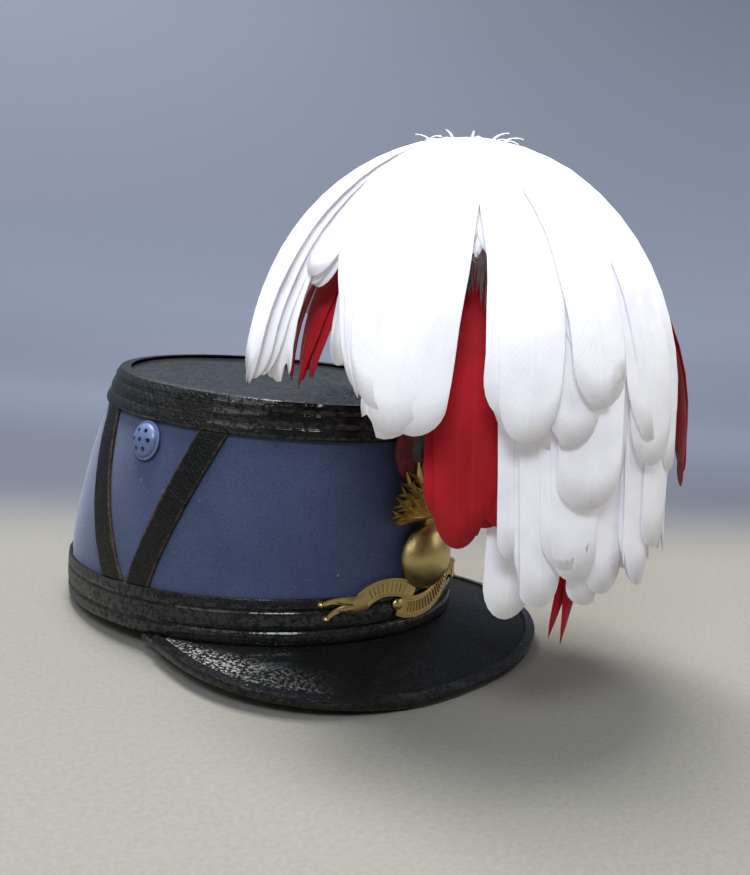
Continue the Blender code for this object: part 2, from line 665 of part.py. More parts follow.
def make_badge(parts, cutters, frame):
    layer = BADGE_THICKNESS / 16.0  # the pieces overlap, so each starts a little above the last
    block = ((-1, 0), (-1, BADGE_THICKNESS), (1, BADGE_THICKNESS), (1, 0))
    pieces = [dome(0.0, BALL_HEIGHT, BALL_RADIUS, BALL_DOME, DOME_SIDES, DOME_STEPS)]
    neck = [(0.0, BALL_HEIGHT + BALL_RADIUS * row.up) for row in NECK_ROWS]
    pieces.append(strip(neck, [row.half for row in NECK_ROWS], block, layer))
    for here, row in enumerate(LONG_FLAMES):
        wave = FLAME_WAVE if here % 2 else -FLAME_WAVE
        pieces.append(flame(row, layer * (2 + here % 3), FLAME_HALF_WIDTH, wave))
    for here, row in enumerate(SHORT_FLAMES):
        wave = -FLAME_WAVE if here % 2 else FLAME_WAVE
        pieces.append(flame(row, layer * (9 + here % 3), SHORT_FLAME_HALF_WIDTH, wave))
    for mirror in (1.0, -1.0):
        arch = places(SCROLL_ARCH, mirror)
        pieces.append(ribbon(arch, layer * 2, 6))
        pieces += ribs(arch, layer * 2, 7, 3, 5)
        tail = smooth_path(places(SCROLL_TAIL, mirror), 3)
        pieces.append(strip(tail, [SCROLL_HALF_WIDTH * TAIL_WIDTH] * len(tail), block, layer * 4))
        for table in (TAIL_UPPER, TAIL_LOWER):
            prong = places(table, mirror)
            halves = [SCROLL_HALF_WIDTH * width for width in PRONG_WIDTHS]
            pieces.append(strip(prong, halves, block, layer * 6))
            pieces.append(dome(*prong[-1], BEAD_RADIUS, BEAD_RISE, BEAD_SIDES, 2, layer * 3))
    front = places(SCROLL_FRONT)
    pieces.append(ribbon(front, layer * 8, 8))
    pieces += ribs(front, layer * 8, 10, 2, 8)
    pieces.append(dome(*front[0], CURL_RADIUS, CURL_RISE, BEAD_SIDES + 2, 2, layer * 5))
    fuse("badge", "brass", pieces, parts, cutters, frame)


def fill_hollows(bm):
    """Removes the walls of the small hollows that joined pieces shut in, which leaves them solid."""
    waiting = set(bm.faces)
    skins = []
    while waiting:
        skin = {waiting.pop()}
        edge_of = list(skin)
        while edge_of:
            for edge in edge_of.pop().edges:
                fresh = [face for face in edge.link_faces if face in waiting]
                waiting.difference_update(fresh)
                skin.update(fresh)
                edge_of.extend(fresh)
        skins.append(skin)
    outer = max(skins, key=len)
    inner = [face for skin in skins if skin is not outer for face in skin]
    bmesh.ops.delete(bm, geom=inner, context="FACES")


def fuse(name, finish, pieces, parts, cutters, frame):
    """Joins overlapping closed pieces into one body."""
    joined = bpy.data.collections.new(name + "_pieces")
    cutters.children.link(joined)
    first = object_from(pieces[0], name + "_first", finish, parts, None)
    for piece in pieces[1:]:
        object_from(piece, name + "_piece", finish, joined, None)
    join = first.modifiers.new("join", "BOOLEAN")
    join.operation = "UNION"
    join.operand_type = "COLLECTION"
    join.collection = joined
    bpy.context.view_layer.update()
    graph = bpy.context.evaluated_depsgraph_get()
    bm = bmesh.new()
    bm.from_mesh(first.evaluated_get(graph).to_mesh())
    fill_hollows(bm)
    bmesh.ops.triangulate(bm, faces=bm.faces)
    for piece in [first, *joined.objects]:
        bpy.data.objects.remove(piece, do_unlink=True)
    bpy.data.collections.remove(joined)
    made = object_from(bm, name, finish, parts, frame)
    made.data.materials.clear()
    made.data.materials.append(material_of(name, finish))
    shade_smooth(made)


# Plume

def plume_forward():
    return TOP_HALF_LENGTH + TOP_SHIFT + PLUME_AHEAD


def plume_top():
    return top_at(0.0) + PLUME_RISE


def lock_point(lock, share, top, shoulder):
    """Middle of a lock: over the shoulder on a quarter ellipse, then straight down to its tip."""
    radius = PLUME_RADIUS * lock.reach
    tip = plume_top() * lock.tip
    hang = max(0.0, top - shoulder - tip)
    curved = math.pi / 4.0 * (radius + shoulder)
    fall = min(1.0, (top - tip) / shoulder)
    last = math.acos(1.0 - fall)
    curved *= last / (math.pi / 2.0)
    travelled = share * (curved + hang)
    if travelled < curved:
        angle = last * travelled / curved
        return radius * math.sin(angle), top - shoulder * (1.0 - math.cos(angle))
    return radius * math.sin(last), top - shoulder * (1.0 - math.cos(last)) - (travelled - curved)


def make_lock(lock, top, shoulder):
    azimuth = math.radians(lock.azimuth)
    outward = Vector((-math.sin(azimuth), -math.cos(azimuth), 0.0))
    sideways = Vector((math.cos(azimuth), -math.sin(azimuth), 0.0))
    foot = Vector((0.0, -plume_forward(), 0.0))
    sections = []
    for row in LOCK_SECTIONS:
        radius, height = lock_point(lock, row.along, top, shoulder)
        behind, above = lock_point(lock, row.along - NUDGE, top, shoulder)
        along = (outward * (radius - behind) + Vector((0, 0, height - above))).normalized()
        out = sideways.cross(along)
        out = out if out.dot(outward + Vector((0, 0, 1))) > 0.0 else -out
        middle = foot + outward * radius + Vector((0, 0, height))
        half = PLUME_RADIUS * lock.width / 2.0 * row.width
        thick = LOCK_THICKNESS / 2.0 * min(1.0, LOCK_EDGE_SHARE + row.width)
        section = (sideways * half, out * thick, -sideways * half, -out * thick)
        sections.append([middle + offset for offset in section])
    return loft(sections)


def make_head(top, radius):
    """A squat cap that the locks grow from."""
    rings = []
    for share in HEAD_ROWS:
        angle = math.pi * share
        reach = radius * math.sin(angle)
        height = top + LOCK_THICKNESS / 2.0 - HEAD_HEIGHT / 2.0 * (1.0 - math.cos(angle))
        rings.append([Vector((reach * math.cos(2.0 * math.pi * side / DOME_SIDES),
                              reach * math.sin(2.0 * math.pi * side / DOME_SIDES) - plume_forward(), height))
                      for side in range(DOME_SIDES)])
    return loft(rings)


def make_plume(parts, cutters, frame):
    for name, finish, locks, drop, radius in (
        ("plume_white", "white", WHITE_LOCKS, 0.0, WHITE_HEAD_RADIUS),
        ("plume_red", "red", RED_LOCKS, RED_HEAD_DROP, RED_HEAD_RADIUS),
    ):
        top = plume_top() - drop - LOCK_THICKNESS / 2.0
        pieces = [make_head(top, radius)]
        pieces += [make_lock(lock, top, PLUME_SHOULDER - drop * 0.5) for lock in locks]
        fuse(name, finish, pieces, parts, cutters, frame)


def make_stem(parts, cutters, frame):
    """The post: a flat tang behind the cockade, and a rod that runs up to the plume's head."""
    back = tang_stand()
    band_top = top_at(0.0)
    high = band_top + TANG_HEIGHT * TANG_ABOVE_SHARE
    tang = []
    for share in STEM_ROWS:
        height = mix(high - TANG_HEIGHT, high, share)
        sheet = min(height, band_top)
        section = []
        for stand, order in ((back, (-1, 0, 1)), (back + TANG_THICKNESS, (1, 0, -1))):
            for edge in order:
                point = front_point(TANG_HALF_WIDTH * edge, sheet, stand)
                point.z = height
                section.append(point)
        tang.append(section)
    foot = front_point(0.0, band_top, back + TANG_THICKNESS / 2.0)
    head = plume_top() - RED_HEAD_DROP - HEAD_HEIGHT - GAP
    rod = [Vector((0.0, mix(foot.y, -plume_forward(), math.sin(math.pi / 2.0 * share)),
                   mix(band_top + STEM_RADIUS, head, share))) for share in STEM_ROWS]
    sections = []
    for middle in rod:
        sections.append([middle + Vector((math.cos(angle), math.sin(angle), 0.0)) * STEM_RADIUS
                         for angle in (2.0 * math.pi * side / ROD_SIDES for side in range(ROD_SIDES))])
    fuse("plume_stem", "iron", [loft(tang), loft(sections)], parts, cutters, frame)


# Where it stands

def world_points(parts):
    bpy.context.view_layer.update()
    graph = bpy.context.evaluated_depsgraph_get()
    for piece in parts.objects:
        evaluated = piece.evaluated_get(graph)
        for vertex in evaluated.to_mesh().vertices:
            yield piece.name, evaluated.matrix_world @ vertex.co
        evaluated.to_mesh_clear()


def stand_up(parts, frame):
    """Leans the hat back on the rear of its rim, and puts the middle of its underside at the origin."""
    rear = RIM_HALF_LENGTH + GAP + BAND_THICKNESS * LOWER_BAND_RIDGES[0].stand
    lean = max(math.atan2(-point.z, rear - point.y) for name, point in world_points(parts)
               if name == "peak_binding")
    frame.rotation_euler.x = -lean
    points = [point for _, point in world_points(parts)]
    low = Vector([min(point[axis] for point in points) for axis in range(3)])
    high = Vector([max(point[axis] for point in points) for axis in range(3)])
    frame.location = (-(low.x + high.x) / 2.0, -(low.y + high.y) / 2.0, -low.z)
    bpy.context.view_layer.update()


def main():
    clear_scene()
    parts = new_collection("shako")
    cutters = new_collection("cutters", hidden=True)
    frame = bpy.data.objects.new("hat_frame", None)
    bpy.context.scene.collection.objects.link(frame)
    make_crown(parts, cutters, frame)
    make_lower_band(parts, frame)
    make_upper_band(parts, frame)
    make_top_disc(parts, frame)
    make_peak(parts, frame)
    make_peak_binding(parts, frame)
    for side, sign in (("right", 1.0), ("left", -1.0)):
        for strap in STRAPS:
            make_strap(strap, side, sign, parts, frame)
        make_vent(side, sign, parts, cutters, frame)
    make_cockade(parts, frame)
    make_badge(parts, cutters, frame)
    make_stem(parts, cutters, frame)
    make_plume(parts, cutters, frame)
    stand_up(parts, frame)


main()
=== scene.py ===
import json
import random
from collections import namedtuple
from math import acos, atan2, cos, degrees, exp, hypot, pi, radians, sin, sqrt, tau

import bmesh
import bpy
from mathutils import Matrix, Vector, noise


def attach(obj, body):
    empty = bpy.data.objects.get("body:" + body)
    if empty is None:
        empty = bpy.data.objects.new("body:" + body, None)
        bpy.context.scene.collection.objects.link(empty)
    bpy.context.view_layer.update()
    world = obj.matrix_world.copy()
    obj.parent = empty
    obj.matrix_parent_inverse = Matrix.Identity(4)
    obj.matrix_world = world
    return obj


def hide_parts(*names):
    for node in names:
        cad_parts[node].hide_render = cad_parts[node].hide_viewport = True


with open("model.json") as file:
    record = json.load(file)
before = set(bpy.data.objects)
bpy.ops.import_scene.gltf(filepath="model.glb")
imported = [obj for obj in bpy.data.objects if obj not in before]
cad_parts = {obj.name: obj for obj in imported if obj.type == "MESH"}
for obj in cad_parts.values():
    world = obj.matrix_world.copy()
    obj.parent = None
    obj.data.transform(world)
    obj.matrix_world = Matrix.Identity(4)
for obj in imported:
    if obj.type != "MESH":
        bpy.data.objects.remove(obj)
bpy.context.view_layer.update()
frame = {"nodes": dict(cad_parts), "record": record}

cad = frame["nodes"]

# The hat stands on its rim and peak, so its own axis leans. The record's head opening gives the place
# and the lean, and every piece is shaped upright in the hat's own frame first: front at -Y.
headOpening = next(row for row in frame["record"]["mounts"] if row["name"] == "head_opening")
hatUp = -Vector(headOpening["axis"]).normalized()
hatSide = Vector((1.0, 0.0, 0.0))
hatTurn = Matrix((hatSide, hatUp.cross(hatSide), hatUp)).transposed().to_4x4()
hatPlace = Matrix.Translation(headOpening["pos_m"]) @ hatTurn

hat = dict(
    rimHalfLength=0.106, rimHalfWidth=0.0895, topHalfLength=0.091, topHalfWidth=0.0725,
    topShift=0.0205,  # how far forward of the rim the top lies
    topHeight=0.1143, topFall=0.074,  # the top drops by this much for each metre forward
    straightShare=0.19, drawInCurve=1.55, wall=0.0025, gap=0.0003,
    steps=200,  # facets round the hat
)
nudge = 1e-3
bands = dict(
    lowerHeight=0.0209, upperHeight=0.0162, thickness=0.0024, lipWidth=0.0035, lipThickness=0.0011,
    discThickness=0.002,
)


# Shader maths: a wire carries a number between nodes, and sums of wires add the Math nodes

class Wire:
    def __init__(self, paint, socket):
        self.paint = paint
        self.socket = socket

    def maths(self, operation, first, second):
        return self.paint.node("ShaderNodeMath", dict(operation=operation), {0: first, 1: second})

    def __add__(self, other):
        return self.maths("ADD", self, other)

    def __radd__(self, other):
        return self.maths("ADD", other, self)

    def __sub__(self, other):
        return self.maths("SUBTRACT", self, other)

    def __rsub__(self, other):
        return self.maths("SUBTRACT", other, self)

    def __mul__(self, other):
        return self.maths("MULTIPLY", self, other)

    def __rmul__(self, other):
        return self.maths("MULTIPLY", other, self)

    def __abs__(self):
        return self.maths("ABSOLUTE", self, 0.0)

    def most(self, other):
        return self.maths("MAXIMUM", self, other)

    def sine(self):
        return self.maths("SINE", self, 0.0)


fixedSockets = dict(
    roughness="Roughness", metallic="Metallic", shine="Specular IOR Level", sheen="Sheen Weight",
    sheenRoughness="Sheen Roughness", sheenTint="Sheen Tint", coatRoughness="Coat Roughness",
    paintedGlow="Emission Strength",
)


class Paint:
    def __init__(self, name, **fixed):
        self.material = bpy.data.materials.new(name)
        self.material.use_nodes = True
        self.tree = self.material.node_tree
        self.shader = self.tree.nodes["Principled BSDF"]
        for word, value in fixed.items():
            self.shader.inputs[fixedSockets[word]].default_value = value
        self.where = self.node("ShaderNodeTexCoord", out="Object")
        across = self.node("ShaderNodeSeparateXYZ", inputs={0: self.node("ShaderNodeTexCoord", out="UV")})
        self.u = across
        self.v = Wire(self, across.socket.node.outputs["Y"])

    # Any node: its type, its settings, then the values or wires of its sockets
    def node(self, kind, settings=None, inputs=None, out=0):
        made = self.tree.nodes.new(kind)
        for key, value in (settings or {}).items():
            setattr(made, key, value)
        for key, value in (inputs or {}).items():
            if isinstance(value, Wire):
                self.tree.links.new(value.socket, made.inputs[key])
            else:
                made.inputs[key].default_value = value
        return Wire(self, made.outputs[out])

    def grain(self, scale, detail=3.0, roughness=0.55, stretch=None):
        spot = self.where
        if stretch:
            spot = self.node("ShaderNodeVectorMath", dict(operation="MULTIPLY"), {0: spot, 1: stretch})
        inputs = {"Vector": spot, "Scale": scale, "Detail": detail, "Roughness": roughness}
        return self.node("ShaderNodeTexNoise", None, inputs)

    def cracks(self, scale):  # 0 along the cracks
        inputs = {"Vector": self.where, "Scale": scale}
        return self.node("ShaderNodeTexVoronoi", dict(feature="DISTANCE_TO_EDGE"), inputs)

    def attribute(self, name):
        return self.node("ShaderNodeAttribute", dict(attribute_name=name), out="Fac")

    def between(self, value, low, high, start=0.0, end=1.0):
        inputs = {"Value": value, "From Min": low, "From Max": high, "To Min": start, "To Max": end}
        return self.node("ShaderNodeMapRange", dict(interpolation_type="SMOOTHSTEP"), inputs)

    def blend(self, share, first, second, how="MIX"):
        first, second = (row if isinstance(row, Wire) else (*row, 1.0) for row in (first, second))
        settings = dict(data_type="RGBA", blend_type=how)
        return self.node("ShaderNodeMix", settings, {0: share, 6: first, 7: second}, out=2)

    def bump(self, height, distance, strength=1.0, under=None):
        inputs = {"Strength": strength, "Distance": distance, "Height": height}
        if under:
            inputs["Normal"] = under
        return self.node("ShaderNodeBump", None, inputs)

    def finish(self, colour=None, roughness=None, normal=None, metallic=None, coat=None):
        sockets = {"Base Color": colour, "Roughness": roughness, "Normal": normal, "Metallic": metallic,
                   "Coat Weight": coat}
        for name, wire in sockets.items():
            if wire is not None:
                self.tree.links.new(wire.socket, self.shader.inputs[name])
        return self.material


def clothPaint():
    paint = Paint("wornWoolCloth", roughness=0.88, sheen=0.35, sheenRoughness=0.45,
                  sheenTint=(0.70, 0.72, 0.82, 1.0), shine=0.25)
    nap = paint.grain(1700.0, 4.0, 0.7)
    threads = paint.grain(900.0, 2.0, 0.5)
    mottle = paint.grain(30.0, 5.0, 0.6)
    shade = paint.blend(paint.between(mottle, 0.3, 0.72), (0.038, 0.052, 0.118), (0.054, 0.072, 0.148))
    fuzz = paint.blend(paint.between(nap, 0.42, 0.75, 0.0, 0.5), shade, (0.105, 0.122, 0.205))
    dark = paint.blend(paint.between(threads, 0.30, 0.52, 0.32, 0.0), fuzz, (0.018, 0.024, 0.060))
    lint = paint.blend(paint.between(paint.grain(260.0, 1.0), 0.77, 0.80, 0.0, 0.4), dark, (0.26, 0.27, 0.32))
    return paint.finish(lint, normal=paint.bump(nap * 0.6 + threads * 0.5, 0.00035, 0.7))


def liningPaint():
    paint = Paint("boardInside", roughness=0.9, shine=0.2)
    fibres = paint.grain(420.0, 4.0)
    stain = paint.grain(22.0, 4.0)
    shade = paint.blend(paint.between(stain, 0.35, 0.7), (0.105, 0.072, 0.045), (0.062, 0.042, 0.028))
    return paint.finish(shade, normal=paint.bump(fibres, 0.0004, 0.6))


# Black varnished leather. edge says where it is rubbed, from 0 to 1, gloss how much varnish is left,
# and the last argument where the crazed varnish is painted pale: painted highlights for glints of light on it
def leatherPaint(name, edge, gloss=0.5, creases=0.5, dull=0.0, paintedGlints=None):
    paint = Paint(name, shine=0.16, coatRoughness=0.09)
    pores = paint.grain(900.0, 3.0, 0.6)
    cloudy = paint.grain(34.0, 5.0, 0.62)
    scuffs = paint.grain(150.0, 5.0, 0.7)
    craze = paint.cracks(560.0)
    crinkle = paint.grain(430.0, 4.0, 0.6)
    rubbed = edge(paint) if edge else 0.0 * paint.u
    wear = paint.between(rubbed + (scuffs - 0.5) * 1.3 + (cloudy - 0.5) * 0.7, 0.50, 1.0)
    specks = paint.between(scuffs, 0.66, 0.76, 0.0, 0.25)
    black = paint.blend(paint.between(cloudy, 0.3, 0.7), (0.0030, 0.0034, 0.0038), (0.0075, 0.0074, 0.0068))
    brown = paint.blend(paint.between(pores, 0.35, 0.65), (0.045, 0.026, 0.016), (0.105, 0.070, 0.042))
    colour = paint.blend((wear * 0.85).most(specks * wear), black, brown)
    # Painted highlights: pale marks laid on the crazed varnish where light would glint
    if paintedGlints:
        glintMask = paint.between(paint.grain(850.0, 3.0, 0.6, (1.0, 0.6, 1.0)), 0.49, 0.59)
        glintMask *= paint.between(cloudy, 0.30, 0.52, 0.35, 1.0)
        colour = paint.blend(glintMask * paintedGlints(paint), colour, (0.56, 0.55, 0.50))
    rough = paint.between(cloudy, 0.25, 0.75, 0.30 + 0.25 * dull, 0.46 + 0.25 * dull) + wear * 0.28
    height = pores * 0.3 + paint.between(craze, 0.0, 0.14) * creases + scuffs * 0.7 - wear * 0.5
    height = height + crinkle * creases * 1.8
    coat = (1.0 - wear) * (gloss(paint) if callable(gloss) else gloss)
    coat *= paint.between(crinkle, 0.42, 0.53, 0.15, 1.0)
    return paint.finish(colour, rough, paint.bump(height, 0.00034, 0.9), coat=coat)


def brassPaint():
    paint = Paint("oldBrass", metallic=1.0)
    rise = paint.attribute("rise")
    cloudy = paint.grain(120.0, 5.0, 0.65)
    fine = paint.grain(1300.0, 2.0)
    low = paint.between(rise + (cloudy - 0.5) * 0.5, 0.05, 0.50)
    bright = paint.blend(cloudy, (0.52, 0.390, 0.150), (0.63, 0.500, 0.225))
    colour = paint.blend(low, (0.125, 0.082, 0.026), bright)
    spotted = paint.between(paint.grain(420.0, 3.0), 0.63, 0.74, 0.0, 0.6)
    spots = paint.blend(spotted, colour, (0.16, 0.10, 0.035))
    rough = paint.between(cloudy, 0.3, 0.7, 0.27, 0.44) + (1.0 - low) * 0.15
    return paint.finish(spots, rough, paint.bump(fine + cloudy, 0.00012, 0.5))


def ventPaint():
    paint = Paint("paintedTin", shine=0.6)
    chips = paint.between(paint.grain(520.0, 4.0, 0.7), 0.64, 0.68)
    cloudy = paint.grain(160.0, 3.0)
    blue = paint.blend(cloudy, (0.080, 0.110, 0.225), (0.120, 0.160, 0.300))
    colour = paint.blend(chips * 0.75, blue, (0.060, 0.060, 0.075))
    rough = paint.between(cloudy, 0.3, 0.7, 0.30, 0.45) + chips * 0.2
    return paint.finish(colour, rough, paint.bump(cloudy - chips * 0.8, 0.0002, 0.5))


# The cockade's rings are painted by u, which runs from its middle to its edge
def cockadePaint():
    paint = Paint("paintedCockade", shine=0.35)
    cloudy = paint.grain(260.0, 4.0, 0.65)
    dirt = paint.between(cloudy, 0.35, 0.70)
    # Painted shade: all three rings are painted dim, the white ring as dark grey, for the plume's shade over
    # the cockade; dirt varies them at random
    red = paint.blend(dirt, (0.170, 0.014, 0.020), (0.085, 0.009, 0.013))
    pale = paint.blend(dirt, (0.090, 0.086, 0.080), (0.045, 0.043, 0.041))
    blue = paint.blend(dirt, (0.026, 0.034, 0.070), (0.014, 0.017, 0.030))
    inner = paint.blend(paint.between(paint.u, 0.375, 0.385), blue, pale)
    colour = paint.blend(paint.between(paint.u, 0.615, 0.625), inner, red)
    return paint.finish(colour, paint.between(cloudy, 0.3, 0.7, 0.45, 0.7), paint.bump(cloudy, 0.0003, 0.6))


def ironPaint():
    paint = Paint("blackedIron", metallic=1.0)
    cloudy = paint.grain(300.0, 4.0)
    colour = paint.blend(cloudy, (0.060, 0.055, 0.052), (0.13, 0.115, 0.10))
    return paint.finish(colour, paint.between(cloudy, 0.3, 0.7, 0.4, 0.65), paint.bump(cloudy, 0.0002, 0.5))


# Feathers: u runs across the vane and v from the root to the tip
def featherPaint(name, body, shadow, quill, sheen, paintedGlow=0.0):
    paint = Paint(name, roughness=0.7, shine=0.2, sheen=sheen, sheenRoughness=0.4, paintedGlow=paintedGlow)
    side = abs(paint.u * 2.0 - 1.0)
    drift = paint.grain(45.0, 3.0)
    barbs = ((paint.v * 330.0 - side * 60.0 + drift * 26.0).sine() + 1.0) * 0.5
    finer = paint.grain(600.0, 2.0)
    shaft = paint.between(side, 0.01, 0.06, 1.0, 0.0)
    tone = paint.blend(paint.between(drift, 0.35, 0.7), body, shadow)
    lined = paint.blend((1.0 - barbs) * 0.10, tone, shadow, "MULTIPLY")
    # Painted shade: the tips and edges of each vane are darkened towards the shadow colour
    ends = paint.between(paint.v, 0.55, 1.0, 0.0, 0.35).most(paint.between(side, 0.6, 1.0, 0.0, 0.5))
    shadedTipsAndEdges = paint.blend(ends, lined, shadow)
    colour = paint.blend(shaft * 0.3, shadedTipsAndEdges, quill)
    height = barbs * 0.22 + finer * 0.30 + shaft * 0.8
    # Painted glow: the vanes give off light in their own colour, standing in for light shining through them
    paint.tree.links.new(colour.socket, paint.shader.inputs["Emission Color"])
    return paint.finish(colour, normal=paint.bump(height, 0.00022, 0.45))


print("materials")


# Places on the crown's wall, as the CAD has them

def mix(start, end, share):
    return start + (end - start) * share


def drawIn(share):
    return max(0.0, (share - hat["straightShare"]) / (1.0 - hat["straightShare"])) ** hat["drawInCurve"]


def topAt(turn):
    return hat["topHeight"] - hat["topFall"] * (hat["topHalfLength"] * cos(turn) + hat["topShift"])


def ovalAt(turn, height):
    drawn = drawIn(height / topAt(turn))
    halves = [mix(hat["rimHalf" + way], hat["topHalf" + way], drawn) for way in ("Length", "Width")]
    return drawn, *halves


# turn runs from the front towards the wearer's right, and stand is how far out from the cloth
def wallAt(turn, height, stand=0.0):
    drawn, length, width = ovalAt(turn, height)
    ahead = (length + stand) * cos(turn) + hat["topShift"] * drawn
    return Vector((-(width + stand) * sin(turn), -ahead, height))


def arcRate(turn, height):
    drawn, length, width = ovalAt(turn, height)
    return hypot(length * sin(turn), width * cos(turn))


# across is measured along the cloth from the front's middle, towards the wearer's left
def frontAt(across, height, stand):
    steps = 12
    turn = 0.0
    for _ in range(steps):
        turn += across / steps / arcRate(turn, height)
    return wallAt(-turn, height, stand)


# Making and finishing pieces

def meshFrom(bm, name):
    mesh = bpy.data.meshes.new(name)
    bm.to_mesh(mesh)
    bm.free()
    return mesh


def addObject(name, data):
    made = bpy.data.objects.new(name, data)
    bpy.context.scene.collection.objects.link(made)
    return made


# toward(face) is the way that an open sheet's faces look
def finishPiece(bm, name, node, slot, materials, smooth=40.0, place=hatPlace, toward=None):
    bmesh.ops.recalc_face_normals(bm, faces=bm.faces)
    if toward and sum(face.normal.dot(toward(face)) for face in bm.faces) < 0.0:
        bmesh.ops.reverse_faces(bm, faces=bm.faces)
    bmesh.ops.transform(bm, matrix=place, verts=bm.verts)
    mesh = meshFrom(bm, name)
    for material in materials:
        mesh.materials.append(material)
    mesh.shade_smooth()
    mesh.set_sharp_from_angle(angle=radians(smooth))
    piece = addObject(name, mesh)
    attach(piece, "root")
    if node:
        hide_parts(node)
    return piece


def upward(face):
    return Vector((0.0, 0.0, 1.0))


def thicken(piece, thickness, offset=-1.0, rimMaterial=0):
    wall = piece.modifiers.new("thickness", "SOLIDIFY")
    wall.thickness = thickness
    wall.offset = offset
    wall.material_offset_rim = rimMaterial
    return wall


def roundEdges(piece, width, segments=2):
    soft = piece.modifiers.new("roundedEdges", "BEVEL")
    soft.width = width
    soft.segments = segments
    soft.limit_method = "ANGLE"
    soft.angle_limit = radians(40.0)


# A grid whose corners move to place(u, v), with u and v from 0 to 1 kept as its UV map
def addSheet(bm, across, along, place, closed=False):
    uvMap = bm.loops.layers.uv.verify()
    corners = bmesh.ops.create_grid(bm, x_segments=across, y_segments=along, size=0.5)["verts"]
    spots = {corner: (corner.co.x + 0.5, corner.co.y + 0.5) for corner in corners}
    faces = {face for corner in corners for face in corner.link_faces}
    for loop in loopsOf(faces):
        loop[uvMap].uv = spots[loop.vert]
    for corner, (u, v) in spots.items():
        corner.co = place(u, v)
    if closed:
        bmesh.ops.remove_doubles(bm, verts=corners, dist=1e-6)
    return corners, faces


# A profile of (across, height) corners spun round Z
def spinProfile(bm, profile, steps, closed=False):
    corners = [bm.verts.new((across, 0.0, height)) for across, height in profile]
    edges = [bm.edges.new(pair) for pair in zip(corners, corners[1:])]
    if closed:
        edges.append(bm.edges.new((corners[-1], corners[0])))
    bmesh.ops.spin(bm, geom=corners + edges, axis=(0, 0, 1), cent=(0, 0, 0), angle=tau, steps=steps,
                   use_merge=True, use_duplicate=False)


def loopsOf(faces):
    return [loop for face in faces for loop in face.loops]


def fillHoles(bm):
    bmesh.ops.holes_fill(bm, edges=[edge for edge in bm.edges if edge.is_boundary])


# A closed profile of (stand, height) corners laid on the hat's wall above base(turn), all the way round
def aroundHat(profile, base):
    bm = bmesh.new()
    uvMap = bm.loops.layers.uv.verify()
    spinProfile(bm, [(1.0 + stand, height) for stand, height in profile], hat["steps"], closed=True)
    tall = max(height for stand, height in profile)
    for loop in loopsOf(bm.faces):
        turn = atan2(loop.vert.co.y, loop.vert.co.x)
        loop[uvMap].uv = (turn / tau + 0.5, loop.vert.co.z / tall)
    for corner in bm.verts:
        turn = atan2(corner.co.y, corner.co.x)
        stand = hypot(corner.co.x, corner.co.y) - 1.0
        height = corner.co.z
        corner.co = wallAt(turn, base(turn) + height, stand + handWorked(turn, height, stand))
    return bm


def smoothPath(points, count):
    finer = []
    last = len(points) - 1
    for step in range(count + 1):
        here = min(int(step / count * last), last - 1)
        share = step / count * last - here
        before, start, end, after = (Vector(points[min(last, max(0, here + jump))]) for jump in (-1, 0, 1, 2))
        finer.append(0.5 * (2.0 * start + (end - before) * share
                            + (2.0 * before - 5.0 * start + 4.0 * end - after) * share ** 2
                            + (3.0 * start - before - 3.0 * end + after) * share ** 3))
    return finer


# Crown

crown = dict(rows=30, dents=0.0007, dentScale=26.0)


def makeCrown():
    bm = bmesh.new()
    above = bands["lipThickness"] + bands["discThickness"] + 2.0 * hat["gap"]

    def place(u, v):
        turn = tau * u
        spot = wallAt(turn, mix(hat["gap"], topAt(turn) - above, v))
        fade = sin(pi * v)  # the cloth is pulled flat under the bands
        return wallAt(turn, spot.z, -crown["dents"] * fade * (0.5 + noise.noise(spot * crown["dentScale"])))

    addSheet(bm, hat["steps"], crown["rows"], place, closed=True)
    piece = finishPiece(bm, "crownCloth", "crown", "cloth", [clothPaint(), liningPaint()],
                        toward=lambda face: face.calc_center_median().to_2d().to_3d())
    wall = thicken(piece, hat["wall"])
    wall.material_offset = 1
    wall.material_offset_rim = 1
    print("crown")


# Bands and top: each row is a height share and how much of the thickness stands out there

lowerRidges = (
    (0.00, 0.72), (0.08, 0.98), (0.24, 1.00), (0.31, 0.72), (0.39, 1.00), (0.66, 0.96), (0.74, 0.70),
    (0.82, 0.92), (1.00, 0.66),
)
upperRidges = (
    (0.00, 0.66), (0.09, 0.96), (0.26, 0.90), (0.34, 0.70), (0.46, 0.94), (0.64, 0.86), (0.71, 0.68),
    (0.82, 0.96), (1.00, 0.60),
)
handWork = dict(depth=0.00022, around=7.0, upward=18.0)


def bandProfile(ridges, height):
    rows = smoothPath([(stand, up) for up, stand in ridges], 4 * (len(ridges) - 1))
    return [(hat["gap"] + bands["thickness"] * row.x, height * row.y) for row in rows]


# Leather is never quite even, so it stands a little more or less as it goes round
def handWorked(turn, height, stand):
    spot = Vector((cos(turn), sin(turn), height * handWork["upward"]))
    return handWork["depth"] * noise.noise(spot * handWork["around"]) if stand > 2.0 * hat["gap"] else 0.0


def bandEdges(paint):
    top = paint.between(paint.v, 0.78, 1.0)
    foot = paint.between(paint.v, 0.0, 0.10, 0.8, 0.0)
    return (top * 0.85).most(foot) * 0.62


def bandGloss(paint):  # the varnish has gone dull at the back and far down the sides
    return paint.between(abs(paint.u - 0.5), 0.23, 0.34, 0.80, 0.10)


